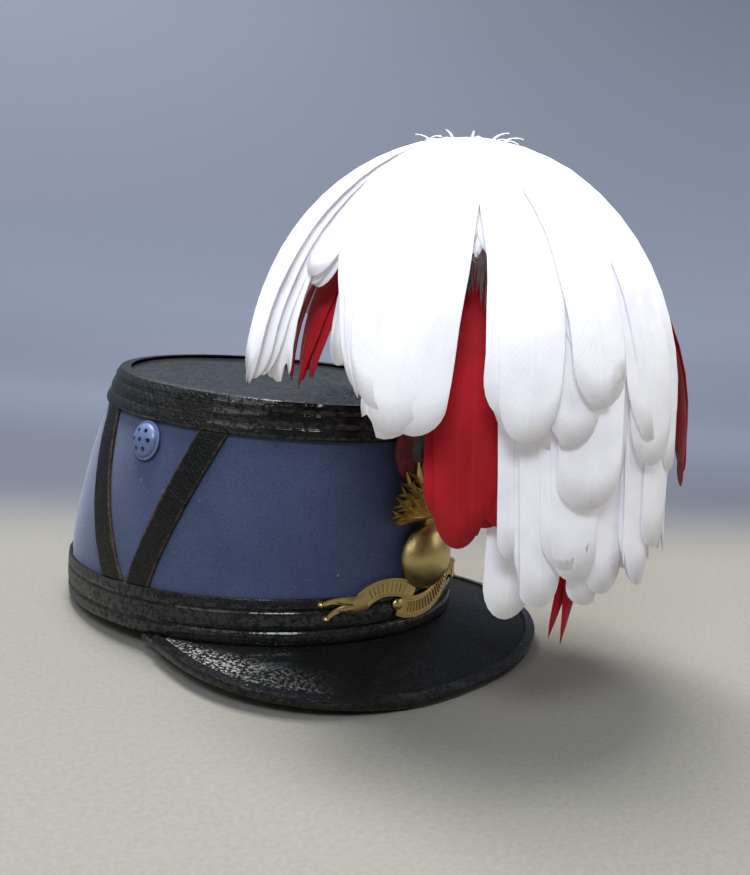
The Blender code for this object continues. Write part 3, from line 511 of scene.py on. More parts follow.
def makeBands():
    upper = bands["upperHeight"]
    under = upper - bands["lipThickness"]
    foot = [(hat["gap"], 0.0)]
    lowerEnd = [(hat["gap"], bands["lowerHeight"])]
    lip = [(-bands["lipWidth"], upper), (-bands["lipWidth"], under), (hat["gap"], under)]
    for name, ridges, tall, end, base in (
        ("lower", lowerRidges, bands["lowerHeight"], lowerEnd, lambda turn: 0.0),
        ("upper", upperRidges, upper, lip, lambda turn: topAt(turn) - upper),
    ):
        bm = aroundHat(foot + bandProfile(ridges, tall) + end, base)
        leather = leatherPaint(name + "BandLeather", bandEdges, gloss=bandGloss, creases=0.7)
        roundEdges(finishPiece(bm, name + "Band", name + "_band", "leather", [leather]), 0.0004)


topPlate = dict(rings=14, holeShare=0.02, dents=0.0006, dentScale=30.0, sag=0.0007)


def makeTopPlate():
    bm = bmesh.new()
    below = bands["lipThickness"] + hat["gap"]

    def place(u, v):
        rim = wallAt(tau * u, topAt(tau * u) - below)
        middle = Vector((0.0, -hat["topShift"], hat["topHeight"] - below - hat["topFall"] * hat["topShift"]))
        spot = middle.lerp(rim, max(v, topPlate["holeShare"]))
        dent = topPlate["dents"] * noise.noise(spot * topPlate["dentScale"]) * sin(pi * v)
        spot.z += dent - topPlate["sag"] * (1.0 - v * v)
        return spot

    addSheet(bm, hat["steps"], topPlate["rings"], place, closed=True)
    hole = [edge for edge in bm.edges if edge.is_boundary and edge.calc_length() < 0.001]
    bmesh.ops.holes_fill(bm, edges=hole)
    leather = leatherPaint("topLeather", None, gloss=0.35, creases=0.25, dull=0.35)
    piece = finishPiece(bm, "topPlate", "top_disc", "leather", [leather], toward=upward)
    thicken(piece, bands["discThickness"])
    print("bands and top")


# Peak

peak = dict(
    reach=0.0385, drop=0.0187, thickness=0.0024, endTurn=radians(77.0), restTurn=radians(13.0),
    tuck=0.0026, arch=1.25, lift=1.05, pastEnd=1.05, close=2.25, square=3.9,
    beadInset=0.0042, beadRise=0.00045, beadWidth=0.0007, dents=0.0006, dentScale=34.0,
    across=160, along=26,
)
binding = dict(width=0.0042, thickness=0.0008, length=0.93, steps=150, narrow=0.4, fold=0.55)


def peakAt(turn, share):
    rear = hat["rimHalfLength"] + hat["gap"] + bands["thickness"]
    aside = (turn / (peak["endTurn"] * peak["pastEnd"])) ** 2
    reach = peak["reach"] * (1.0 - aside) ** peak["close"] * (1.0 + peak["square"] * aside)
    spread = max(0.0, (abs(turn) - peak["restTurn"]) / (peak["endTurn"] - peak["restTurn"])) ** peak["lift"]
    inner = wallAt(turn, 0.0, hat["gap"] + bands["thickness"] - peak["tuck"])
    outer = wallAt(turn, 0.0, hat["gap"] + bands["thickness"] + reach)
    half = peak["thickness"] / 2.0
    seat = -(hat["gap"] + half)
    floor = -peak["drop"] * (rear - outer.y) / (rear + rear + peak["reach"])
    edge = seat - (1.0 - spread) * max(0.0, seat - floor - half - hat["gap"] - binding["thickness"])
    point = inner.lerp(outer, share)
    point.z = mix(seat, edge, max(0.0, share) ** peak["arch"])
    return point


def peakWear(paint):
    return paint.between(paint.v, 0.90, 1.0, 0.0, 0.45)


def peakGloss(paint):  # more varnish is left towards the wearer's right
    return paint.between(paint.u, 0.60, 0.86, 0.12, 0.95)


# Where the peak's painted highlights go: towards the wearer's right and the outer edge, fading before the
# peak's end
def peakPaintedGlints(paint):
    side = paint.between(paint.u, 0.68, 0.84, 0.0, 0.80) * paint.between(paint.u, 0.94, 0.98, 1.0, 0.0)
    return side * paint.between(paint.v + paint.u * 1.6, 1.55, 1.90)


def makePeak():
    bm = bmesh.new()

    def place(u, v):
        turn = peak["endTurn"] * (2.0 * u - 1.0)
        spot = peakAt(turn, v)
        wide = (peakAt(turn, 1.0) - peakAt(turn, 0.0)).length
        inset = (1.0 - v) * wide - peak["beadInset"]
        spot.z += peak["beadRise"] * exp(-(inset / peak["beadWidth"]) ** 2)
        spot.z += peak["dents"] * noise.noise(spot * peak["dentScale"]) * sin(pi * v)
        return spot

    addSheet(bm, peak["across"], peak["along"], place)
    leather = leatherPaint("peakLeather", peakWear, gloss=peakGloss, creases=1.2, dull=0.3, paintedGlints=peakPaintedGlints)
    piece = finishPiece(bm, "peakPlate", "peak", "leather", [leather], toward=upward)
    thicken(piece, peak["thickness"], 0.0)


# The binding's section, as corners of how far out from the peak's edge and how far above its middle
def bindingOutline():
    near = peak["thickness"] / 2.0 + hat["gap"]
    far = near + binding["thickness"]
    tip = hat["gap"] + binding["thickness"]
    wide, inner, fold = binding["width"], binding["width"] * binding["narrow"], far * binding["fold"]
    arc = [radians(lean) for lean in (70, 42, 14, -14, -42, -70)]
    outline = [(-wide, near), (-wide, far), (-inner, far)]
    outline += [(tip - fold + fold * cos(angle), far * sin(angle)) for angle in arc]
    outline += [(-inner, -far), (-wide, -far), (-wide, -near), (hat["gap"], -near), (hat["gap"], near)]
    return outline


def makeBinding():
    outline = bindingOutline()
    bm = bmesh.new()

    def bound(u, v):
        turn = peak["endTurn"] * binding["length"] * (2.0 * v - 1.0)
        edge = peakAt(turn, 1.0)
        out = (edge - peakAt(turn, 1.0 - nudge)).normalized()
        along = (peakAt(turn + nudge, 1.0) - peakAt(turn - nudge, 1.0)).normalized()
        out = (out - along * out.dot(along)).normalized()
        over = along.cross(out)
        over = over if over.z > 0.0 else -over
        across, rise = outline[round(u * len(outline)) % len(outline)]
        return edge + out * across + over * rise

    addSheet(bm, len(outline), binding["steps"], bound, closed=True)
    fillHoles(bm)
    leather = leatherPaint("bindingLeather", None, gloss=0.6, creases=0.5)
    finishPiece(bm, "peakBinding", "peak_binding", "leather", [leather])
    print("peak")


# Straps on the sides: degrees from the front at the foot and at the head

strapRow = namedtuple("strapRow", "name foot head")
straps = (strapRow("front", 79.7, 66.3), strapRow("rear", 89.2, 113.5))
strap = dict(width=0.0138, thickness=0.0014, across=8, along=48, wear=0.00018, wearScale=150.0)


def strapEdges(paint):
    side = abs(paint.u * 2.0 - 1.0)
    return paint.between(side, 0.55, 1.0) * 0.85


def makeStraps():
    leather = leatherPaint("strapLeather", strapEdges, gloss=0.15, creases=0.6, dull=0.35)
    for row in straps:
        for side, sign in (("right", 1.0), ("left", -1.0)):
            foot, head = radians(row.foot), radians(row.head)
            low = bands["lowerHeight"] + hat["gap"]
            rise = topAt(head) - bands["upperHeight"] - hat["gap"] - low
            run = (head - foot) * arcRate(mix(foot, head, 0.5), low + rise / 2.0)
            half = strap["width"] / 2.0 * hypot(run, rise) / rise

            def place(u, v):
                middle = mix(foot, head, v)
                swing = half / arcRate(middle, low + rise * v)
                turn = middle + swing * (2.0 * u - 1.0)
                height = mix(low, topAt(turn) - bands["upperHeight"] - hat["gap"], v)
                spot = wallAt(sign * turn, height)
                worn = strap["wear"] * noise.noise(spot * strap["wearScale"])
                return wallAt(sign * turn, height, hat["gap"] + worn)

            bm = bmesh.new()
            addSheet(bm, strap["across"], strap["along"], place)
            piece = finishPiece(bm, row.name + side.title() + "Strap", "chevron_" + row.name + "_" + side,
                                "leather", [leather], toward=lambda face: Vector((-sign, 0.0, 0.0)))
            thicken(piece, strap["thickness"], 1.0)
            roundEdges(piece, 0.0004)
    print("straps")


# Ventilators

vent = dict(
    turn=radians(88.0), clearance=0.0005, radius=0.0093, dome=0.0034, sheet=0.001, flange=0.0014,
    holeRadius=0.00115, holeCircle=0.0048, holesRound=6, holeSides=18, steps=56, rings=9,
)


def makeVents():
    paint = ventPaint()
    domeRadius = vent["radius"] - vent["flange"]
    arc = [pi / 2.0 * (1.0 - ring / vent["rings"]) for ring in range(vent["rings"] + 1)]
    profile = [(domeRadius * cos(angle), vent["sheet"] + vent["dome"] * sin(angle))
               for angle in arc]
    rim = vent["sheet"] / 2.0
    lip = [radians(lean) for lean in (90, 45, 0, -45)]
    profile += [(vent["radius"] - rim + rim * cos(angle), rim + rim * sin(angle)) for angle in lip]
    inner = domeRadius - vent["sheet"]
    profile += [(inner * cos(angle), vent["dome"] * sin(angle)) for angle in reversed(arc)]
    for side, sign in (("right", 1.0), ("left", -1.0)):
        bm = bmesh.new()
        spinProfile(bm, profile, vent["steps"])
        bmesh.ops.remove_doubles(bm, verts=bm.verts, dist=1e-6)
        drill = bmesh.new()
        spots = [(0.0, 0.0)]
        for hole in range(vent["holesRound"]):
            angle = tau * hole / vent["holesRound"]
            spots.append((vent["holeCircle"] * cos(angle), vent["holeCircle"] * sin(angle)))
        for across, along in spots:
            bmesh.ops.create_cone(drill, cap_ends=True, segments=vent["holeSides"],
                                  radius1=vent["holeRadius"], radius2=vent["holeRadius"],
                                  depth=4.0 * vent["dome"],
                                  matrix=Matrix.Translation((across, along, vent["dome"])))
        turn = sign * vent["turn"]
        height = topAt(turn) - bands["upperHeight"] - vent["clearance"] - vent["radius"]
        along = wallAt(turn + nudge, height) - wallAt(turn - nudge, height)
        rise = wallAt(turn, height + nudge) - wallAt(turn, height - nudge)
        out = along.cross(rise).normalized()
        out = out if out.x * sign < 0.0 else -out
        stand = hat["gap"] + vent["radius"] ** 2 / (2.0 * hat["rimHalfWidth"])
        turned = out.to_track_quat("Z", "Y").to_matrix().to_4x4()
        place = hatPlace @ Matrix.Translation(wallAt(turn, height) + out * stand) @ turned
        name = side + "Vent"
        piece = finishPiece(bm, name, "vent_" + side, "vent_paint", [paint], 40.0, place)
        bmesh.ops.transform(drill, matrix=place, verts=drill.verts)
        drillPiece = addObject(name + "Drill", meshFrom(drill, name + "Drill"))
        holes = piece.modifiers.new("holes", "BOOLEAN")
        holes.operation = "DIFFERENCE"
        holes.object = drillPiece
        bpy.context.view_layer.update()
        graph = bpy.context.evaluated_depsgraph_get()
        drilled = bpy.data.meshes.new_from_object(piece.evaluated_get(graph))
        piece.modifiers.clear()
        piece.data = drilled
        drilled.set_sharp_from_angle(angle=radians(40.0))
        bpy.data.objects.remove(drillPiece)
    print("ventilators")


# Cockade: each row is a share of the radius, and of the thickness that stands up there

cockade = dict(
    across=0.003, radius=0.0195, above=0.0003, thickness=0.0022, sides=72, pleats=26, pleatDepth=0.0002,
)
tang = dict(thickness=0.0014)
cockadeRings = (
    (0.12, 1.00), (0.30, 0.96), (0.36, 0.90), (0.375, 0.92), (0.40, 1.05), (0.50, 1.02), (0.60, 0.92),
    (0.615, 0.94), (0.64, 1.05), (0.78, 1.02), (0.90, 0.88), (0.93, 0.90), (0.96, 0.98), (0.985, 0.80),
    (1.00, 0.45),
)


def cockadeStand():
    return hat["gap"] + bands["thickness"] + hat["gap"] + tang["thickness"] + hat["gap"]


def makeCockade():
    middle = topAt(0.0) + cockade["above"] - cockade["radius"]
    rows = [(radius, cockade["thickness"] * stand) for radius, stand in cockadeRings]
    rows += [(1.0, 0.0), (cockadeRings[0][0], 0.0)]
    bm = bmesh.new()
    uvMap = bm.loops.layers.uv.verify()

    def place(u, v):
        radius, rise = rows[round(v * (len(rows) - 1))]
        angle = tau * u
        pleated = 0.65 < radius < 0.9 and rise
        pleat = cockade["pleatDepth"] * sin(angle * cockade["pleats"]) if pleated else 0.0
        return frontAt(cockade["across"] + cockade["radius"] * radius * sin(angle),
                       middle + cockade["radius"] * radius * cos(angle), cockadeStand() + rise + pleat)

    addSheet(bm, cockade["sides"], len(rows) - 1, place, closed=True)
    for loop in loopsOf(bm.faces):
        loop[uvMap].uv.x = rows[round(loop[uvMap].uv.y * (len(rows) - 1))][0]
    fillHoles(bm)
    finishPiece(bm, "cockadePlate", "cockade", "cockade_paint", [cockadePaint()], 30.0)
    print("cockade")


# Badge: a flaming grenade over a scroll, pressed in brass

badge = dict(
    across=0.008, thickness=0.0012, ballRadius=0.0158, ballHeight=0.0345, ballDome=0.0105, liftFrom=0.6,
    flameLength=0.0345, flameFoot=1.22, flameWave=0.046, scrollHalf=0.0042, frontHalf=0.0052, border=0.0004,
    ribWidth=0.0009, ribReach=0.5, tailWidth=0.95, beadRadius=0.0017, beadRise=0.0024,
    curlRadius=0.0030, curlRise=0.0016,
)
flameRow = namedtuple("flameRow", "lean length half layer")
layerRow = namedtuple("layerRow", "count reach half spread level")
flameLayers = (
    layerRow(31, 1.0, 0.0021, 90.0, 0.0), layerRow(29, 0.86, 0.0019, 86.0, 0.45),
    layerRow(23, 0.70, 0.0017, 76.0, 0.9), layerRow(17, 0.50, 0.0015, 60.0, 1.3),
)
# Across and up from the ball's middle, in ball radii, or up and half width in metres for the neck
neckRows = ((0.85, 0.0036), (1.15, 0.0034), (1.50, 0.0055))
neckRings = dict(ups=(0.98, 1.06, 1.14), reach=0.0038, half=0.00055)
ringHalf = [(-1, 0), (-0.7, 0.0012), (0, 0.0017)]
scrollFront = (
    (-1.10, -1.27), (-0.78, -1.39), (-0.34, -1.43), (0.16, -1.36), (0.66, -1.17), (1.02, -0.90),
    (1.26, -0.58),
)
scrollArch = (
    (-0.50, -1.04), (-0.86, -0.84), (-1.27, -0.72), (-1.70, -0.71), (-2.05, -0.82), (-2.30, -0.99),
)
scrollTail = ((-2.18, -1.00), (-2.46, -1.07), (-2.76, -1.07))
tailUpper = ((-2.58, -0.98), (-2.94, -0.92), (-3.22, -0.93), (-3.47, -1.00))
tailLower = ((-2.58, -1.15), (-2.92, -1.17), (-3.14, -1.25), (-3.33, -1.42))
prongWidths = (0.50, 0.46, 0.38, 0.32, 0.27, 0.24, 0.22)


def badgeStand(height):
    low = hat["gap"] + bands["thickness"] + hat["gap"]
    high = cockadeStand() + cockade["thickness"] * 1.05 + hat["gap"]
    start = badge["ballHeight"] + badge["ballRadius"] * badge["liftFrom"]
    foot = topAt(0.0) + cockade["above"] - 2.0 * cockade["radius"]
    return mix(low, high, min(1.0, max(0.0, (height - start) / (foot - start))))


def onBadge(across, height, rise):
    return frontAt(badge["across"] + across, height, badgeStand(height) + rise)


# A closed strip along a path of (across, height). outlineHalf is the left half of its section, as
# corners of (share across, rise), and a corner on the middle comes last
def addStrip(bm, path, halves, outlineHalf, base):
    layer = bm.verts.layers.float["rise"]
    outline = [*outlineHalf, *[(-side, rise) for side, rise in reversed(outlineHalf) if side]]
    peakRise = max(rise for side, rise in outline)
    ends = []
    for here, (middle, half) in enumerate(zip(path, halves)):
        before, after = path[max(0, here - 1)], path[min(len(path) - 1, here + 1)]
        along = Vector((after[0] - before[0], after[1] - before[1])).normalized()
        row = []
        for side, rise in outline:
            across, up = middle[0] - along.y * half * side, middle[1] + along.x * half * side
            corner = bm.verts.new(onBadge(across, up, base + rise))
            corner[layer] = rise / peakRise
            row.append(corner)
        ends.append([bm.edges.new(pair) for pair in zip(row, row[1:] + row[:1])])
    for first, second in zip(ends, ends[1:]):
        bmesh.ops.bridge_loops(bm, edges=first + second)
    for end in (ends[0], ends[-1]):
        bmesh.ops.holes_fill(bm, edges=end)


def addDome(bm, across, height, radius, rise, sides, steps, base=0.0):
    layer = bm.verts.layers.float["rise"]
    arc = [0.5 * pi * step / steps for step in range(steps + 1)]
    before = set(bm.verts)
    spinProfile(bm, [(cos(angle), sin(angle)) for angle in arc], sides)
    found = [corner for corner in bm.verts if corner not in before]
    for corner in found:
        corner[layer] = 0.35 + 0.65 * corner.co.z
        right, up, out = corner.co
        corner.co = onBadge(across + radius * right, height + radius * up, base + rise * out)
    bmesh.ops.remove_doubles(bm, verts=found, dist=1e-6)
    rim = {edge for corner in found if corner.is_valid for edge in corner.link_edges if edge.is_boundary}
    bmesh.ops.holes_fill(bm, edges=list(rim))


def places(table, mirror=1.0):
    size = badge["ballRadius"]
    return [(mirror * across * size, badge["ballHeight"] + up * size) for across, up in table]


def addRibbon(bm, points, base, count, wide):
    top = badge["thickness"]
    floor = top - badge["border"]
    half = [(-1.0, 0.0), (-1.0, top * 0.8), (-0.97, top), (-0.84, top), (-0.79, floor), (-0.73, floor),
            (-0.70, floor + 0.0002), (-0.64, floor + 0.0002), (-0.61, floor)]
    path = smoothPath(points, count)
    addStrip(bm, path, [wide] * len(path), half, base)


def addRibs(bm, points, base, count, wide, first, last):
    path = smoothPath(points, count)
    low, high = badge["thickness"] * 0.3, badge["thickness"] + badge["border"] * 0.5
    half = [(-1, low), (-0.8, high * 0.93), (-0.4, high)]
    for here in range(first, last + 1):
        along = (path[here + 1] - path[here - 1]).normalized()
        across = Vector((-along.y, along.x)) * wide * badge["ribReach"]
        line = [path[here] - across, path[here], path[here] + across]
        addStrip(bm, line, [badge["ribWidth"] / 2.0] * 3, half, base)


def addFlame(bm, row, wave, base):
    foot = Vector((0.0, badge["ballHeight"] + badge["ballRadius"] * badge["flameFoot"]))
    along = Vector((sin(row.lean), cos(row.lean)))
    across = Vector((along.y, -along.x))
    steps = 11
    path, halves = [], []
    for step in range(steps + 1):
        share = step / steps
        swing = wave * row.length * sin(pi * 3.4 * share) * share
        path.append(foot + along * row.length * share + across * swing)
        belly = 0.5 + 0.5 * sin(pi * min(0.5, share))
        halves.append(row.half * belly * max(0.05, 1.0 - share ** 4.0))
    top = badge["thickness"]
    half = [(-1, 0), (-0.85, top * 0.55), (-0.35, top * 0.85), (0, top * 1.35)]
    addStrip(bm, path, halves, half, base)


def makeBadge():
    draw = random.Random(12)
    bm = bmesh.new()
    bm.verts.layers.float.new("rise")
    layer = badge["thickness"] / 16.0
    addDome(bm, 0.0, badge["ballHeight"], badge["ballRadius"], badge["ballDome"], 72, 18)
    block = [(-1, 0), (-1, badge["thickness"] * 0.7), (-0.8, badge["thickness"])]
    neck = places([(0.0, up) for up, half in neckRows])
    addStrip(bm, neck, [half for up, half in neckRows], block, layer)
    for ring in neckRings["ups"]:
        up = places([(0.0, ring)])[0][1]
        bar = [Vector((side * neckRings["reach"], up)) for side in (-1.0, -0.5, 0.0, 0.5, 1.0)]
        addStrip(bm, bar, [neckRings["half"]] * len(bar), ringHalf, layer * 2)
    rows = []
    for row in flameLayers:
        for here in range(row.count):
            lean = row.spread * (2.0 * here / (row.count - 1) - 1.0) + draw.uniform(-2.0, 2.0)
            lean = radians(lean)
            tall = mix(0.80, 1.0, max(0.0, cos(lean)) ** 2.0) * draw.uniform(0.88, 1.0)
            stand = badge["thickness"] * row.level + layer * (here % 3)
            rows.append(flameRow(lean, badge["flameLength"] * row.reach * tall, row.half, stand))
    for here, row in enumerate(rows):
        wave = badge["flameWave"] * (1.0 if here % 2 else -1.0) * draw.uniform(0.6, 1.2)
        addFlame(bm, row, wave, row.layer)
    for mirror in (1.0, -1.0):
        arch = places(scrollArch, mirror)
        addRibbon(bm, arch, layer * 2, 26, badge["scrollHalf"])
        addRibs(bm, arch, layer * 2, 14, badge["scrollHalf"], 3, 11)
        tail = smoothPath(places(scrollTail, mirror), 8)
        addStrip(bm, tail, [badge["scrollHalf"] * badge["tailWidth"]] * len(tail), block, layer * 4)
        for table in (tailUpper, tailLower):
            prong = smoothPath(places(table, mirror), len(prongWidths) - 1)
            addStrip(bm, prong, [badge["scrollHalf"] * width for width in prongWidths], block, layer * 6)
            addDome(bm, *prong[-1], badge["beadRadius"], badge["beadRise"], 18, 5, layer * 3)
    front = places(scrollFront)
    addRibbon(bm, front, layer * 8, 40, badge["frontHalf"])
    addRibs(bm, front, layer * 8, 22, badge["frontHalf"], 3, 19)
    addDome(bm, *front[0], badge["curlRadius"], badge["curlRise"], 24, 6, layer * 5)
    finishPiece(bm, "grenadeBadge", "badge", "brass", [brassPaint()], 50.0)
    print("badge")


# Plume. Each row: degrees from the front towards the wearer's right, reach and width in plume radii,
# the tip's height as a share of the plume's top, and how many degrees the lock swings by its tip

plume = dict(
    forward=0.133, top=0.22305, radius=0.094, shoulder=0.112, lockThickness=0.0056, redDrop=0.016,
    across=12, along=15, featherThickness=0.0003, headRadius=0.013, headTall=0.012, headSides=32,
    fullWidth=0.28,  # feathers in narrower locks are narrower too
)
lockRow = namedtuple("lockRow", "azimuth reach tip width feathers swing", defaults=(0.0,))
whiteLocks = [lockRow(*row) for row in (
    (122, 1.02, 0.555, 0.28, 5, 4), (113, 1.02, 0.520, 0.26, 4, 4), (105, 0.99, 0.530, 0.20, 3, 4),
    (97, 0.97, 0.700, 0.20, 3), (91, 0.98, 0.525, 0.20, 4, -24), (83, 0.99, 0.490, 0.22, 4, -16),
    (75, 1.00, 0.490, 0.22, 4, -8), (57, 1.01, 0.452, 0.24, 6, 8), (31.5, 1.01, 0.455, 0.25, 5, 6),
    (27, 1.00, 0.430, 0.30, 6), (31, 0.93, 0.190, 0.17, 4), (37.5, 0.90, 0.265, 0.12, 1),
    (30, 0.80, 0.150, 0.22, 1, 5), (20, 1.03, 0.505, 0.30, 6), (25, 0.96, 0.215, 0.24, 5),
    (17, 0.99, 0.340, 0.28, 5), (14, 0.95, 0.175, 0.26, 5), (2, 1.02, 0.395, 0.30, 6),
    (-2, 0.96, 0.175, 0.28, 6), (-10, 0.98, 0.235, 0.28, 6), (-17, 1.00, 0.345, 0.28, 5),
    (-25, 0.95, 0.215, 0.28, 6), (-30, 0.97, 0.395, 0.24, 5), (-74, 0.98, 0.355, 0.34, 6),
    (-88, 1.00, 0.495, 0.36, 6), (-106, 0.99, 0.540, 0.38, 6), (-126, 1.00, 0.580, 0.38, 6),
    (-147, 0.98, 0.580, 0.38, 6), (-168, 0.97, 0.590, 0.38, 6), (172, 0.94, 0.630, 0.36, 5),
    (152, 0.92, 0.660, 0.36, 5), (137, 0.95, 0.650, 0.34, 5), (84, 0.86, 0.570, 0.14, 2, 4),
)]
redLocks = [lockRow(*row) for row in (
    (50, 0.87, 0.276, 0.24, 5), (44, 0.86, 0.305, 0.22, 5), (3, 0.83, 0.098, 0.124, 2, 18),
    (11, 0.82, 0.155, 0.12, 2, 3), (-6, 0.82, 0.185, 0.12, 2), (-8, 0.80, 0.295, 0.30, 4),
    (-26, 0.82, 0.285, 0.30, 4), (-40, 1.055, 0.330, 0.20, 2), (-54, 1.03, 0.385, 0.22, 4),
    (-88, 0.80, 0.560, 0.30, 4), (-136, 0.82, 0.570, 0.28, 4), (180, 0.80, 0.600, 0.28, 4),
    (138, 0.84, 0.520, 0.16, 3), (112, 0.84, 0.540, 0.14, 2), (95, 0.86, 0.515, 0.124, 2, 12),
)]


# The ways outward and sideways at a turn round the plume
def waysAt(turn):
    return Vector((-sin(turn), -cos(turn), 0.0)), Vector((cos(turn), -sin(turn), 0.0))


# Over the shoulder on a quarter ellipse, then straight down: the distance out and the height
def hangAt(radius, tip, share, top, shoulder):
    hang = max(0.0, top - shoulder - tip)
    last = acos(1.0 - min(1.0, (top - tip) / shoulder))
    curved = pi / 4.0 * (radius + shoulder) * last / (pi / 2.0)
    travelled = share * (curved + hang)
    angle = min(last, last * travelled / curved)
    past = max(0.0, travelled - curved)
    return radius * sin(angle), top - shoulder * (1.0 - cos(angle)) - past


vane = dict(
    start=0.03, endFlat=0.99, splitHalf=0.2, splitPower=6, lookBack=0.01, rootWide=0.22, widen=1.1,
    widestAt=0.6, taper=0.12, ripple=0.02, ripples=23.0,
)


# One vane: a grid laid along the hanging line, bowed across, with a round end and sometimes a split
def addFeather(bm, draw, azimuth, radius, tip, half, top, shoulder, point=0.0, swing=0.0):
    foot = Vector((0.0, -plume["forward"], 0.0))
    sway = swing + draw.uniform(-0.05, 0.05)
    twist = draw.uniform(-0.12, 0.12)
    bow = draw.uniform(0.07, 0.15)
    curl = draw.uniform(-0.005, 0.001)
    length = (top - tip) + radius * 0.5
    start = vane["start"]
    blunt = half / length * draw.uniform(0.9, 1.5)
    skew = draw.uniform(-0.012, 0.012)
    split = draw.choice((-0.55, 0.55, 0.0)) if draw.random() < 0.3 else None
    splitDepth = draw.uniform(0.02, 0.05)

    def place(u, v):
        side = sin(pi * (u - 0.5))
        roundEnd = blunt * (1.0 - sqrt(1.0 - vane["endFlat"] * side * side)) + skew * side * side * side
        roundEnd += point * abs(side)
        if split is not None and abs(side - split) < vane["splitHalf"]:
            roundEnd += splitDepth * v ** vane["splitPower"]
        share = start + (1.0 - start) * v * (1.0 - roundEnd * v * v)
        out, height = hangAt(radius, tip, share, top, shoulder)
        behind, above = hangAt(radius, tip, share - vane["lookBack"], top, shoulder)
        outward, sideways = waysAt(azimuth + sway * share * share)
        along = (outward * (out - behind) + Vector((0.0, 0.0, height - above))).normalized()
        over = sideways.cross(along)
        over = over if over.dot(outward + Vector((0.0, 0.0, 1.0))) > 0.0 else -over
        opened = sin(pi / 2.0 * min(1.0, share / vane["widestAt"]))
        wide = min(1.0, vane["rootWide"] + vane["widen"] * opened) * (1.0 - vane["taper"] * v ** 3)
        wide *= 1.0 + vane["ripple"] * sin(vane["ripples"] * v + 40.0 * twist)
        angle = twist * share
        lie = sideways * cos(angle) + over * sin(angle)
        stand = -bow * half * wide * side * side + curl * share ** 4
        return foot + outward * out + Vector((0.0, 0.0, height)) + lie * side * half * wide + over * stand

    return addSheet(bm, plume["across"], plume["along"], place)[1]


def addLocks(bm, locks, draw, top, shoulder, half, drop):
    for row in locks:
        spread = degrees(row.width / 2.0 / row.reach)
        narrow = min(1.0, row.width / plume["fullWidth"])
        for here in range(row.feathers):
            slot = (here + 0.5) / row.feathers * 2.0 - 1.0
            order = (here * 3 + 1) % row.feathers / row.feathers
            side = slot * max(0.0, spread - degrees(half * narrow * 0.7 / plume["radius"]))
            azimuth = radians(row.azimuth + side + draw.uniform(-1.2, 1.2))
            reach = plume["radius"] * row.reach * (1.0 - 0.035 * order + draw.uniform(-0.004, 0.004))
            tip = plume["top"] * row.tip + drop * order * narrow ** 2 + draw.uniform(-0.001, 0.003)
            wide = half * draw.uniform(0.85, 1.10) * narrow
            point = 0.12 if row.width < 0.125 and row.feathers == 2 else 0.0
            addFeather(bm, draw, azimuth, reach, tip, wide, top - 0.002 * order, shoulder, point,
                       radians(row.swing))


def addHead(bm, top, radius):
    tall = plume["headTall"]
    arc = [pi * share for share in (0.02, 0.1, 0.2, 0.32, 0.45, 0.6, 0.75, 0.9, 0.98)]
    profile = [(radius * sin(angle), top - tall / 2.0 * (1.0 - cos(angle))) for angle in arc]
    spinProfile(bm, profile, plume["headSides"])
    fillHoles(bm)
    bmesh.ops.translate(bm, verts=bm.verts, vec=(0.0, -plume["forward"], 0.0))


# Short feathers that close the top of the gap, and loose wisps of down
coverts = dict(azimuths=(39.0, 43.5, 47.5, 52.0), half=0.0075, tip=0.755, reach=0.955, point=0.08)
fluff = dict(count=26, length=0.009, half=0.0006, lift=0.003)
down = dict(
    count=110, azimuth=46.0, spread=6.0, length=0.013, half=0.00045, start=0.40, end=0.53, reach=0.93,
    tip=0.3, under=0.003, lookBack=0.02, droop=0.001,
)


def addCoverts(bm, draw, top):
    for azimuth in coverts["azimuths"]:
        tip = plume["top"] * (coverts["tip"] + draw.uniform(-0.02, 0.02))
        reach = plume["radius"] * coverts["reach"]
        addFeather(bm, draw, radians(azimuth), reach, tip, coverts["half"], top, plume["shoulder"],
                   coverts["point"])


def addWisp(bm, foot, along, sideways, length, half, droop):
    def place(u, v):
        side = (2.0 * u - 1.0) * half * (1.0 - v) ** 0.6
        return foot + along * length * v + sideways * side - Vector((0.0, 0.0, droop * v * v))

    return addSheet(bm, 2, 5, place)[1]


def addFluff(bm, draw, top):
    for _ in range(fluff["count"]):
        turn = draw.uniform(0.0, tau)
        reach = draw.uniform(0.002, 0.020)
        aside = Vector((-sin(turn) * reach, -cos(turn) * reach - plume["forward"], 0.0))
        foot = aside + Vector((0.0, 0.0, top - 0.0004 - reach * 0.05))
        lean = turn + draw.uniform(-0.7, 0.7)
        rise = draw.uniform(0.15, 0.75)
        along = Vector((-sin(lean) * cos(rise), -cos(lean) * cos(rise), sin(rise)))
        sideways = waysAt(lean)[1]
        length = fluff["length"] * draw.uniform(0.5, 1.1)
        addWisp(bm, foot, along, sideways, length, fluff["half"], fluff["lift"])


def addDown(bm, draw, top):
    radius, tip, under = plume["radius"] * down["reach"], plume["top"] * down["tip"], top - down["under"]
    for _ in range(down["count"]):
        turn = radians(down["azimuth"] + draw.uniform(-down["spread"], down["spread"]))
        share = draw.uniform(down["start"], down["end"])
        out, height = hangAt(radius, tip, share, under, plume["shoulder"])
        behind, above = hangAt(radius, tip, share - down["lookBack"], under, plume["shoulder"])
        outward, sideways = waysAt(turn)
        along = outward * (out - behind) + Vector((0.0, 0.0, height - above))
        along += sideways * draw.uniform(-0.0007, 0.0007)
        foot = Vector((0.0, -plume["forward"], height)) + outward * out
        for face in addWisp(bm, foot, along.normalized(), sideways, down["length"] * draw.uniform(0.6, 1.2),
                            down["half"], down["droop"]):
            face.material_index = 1


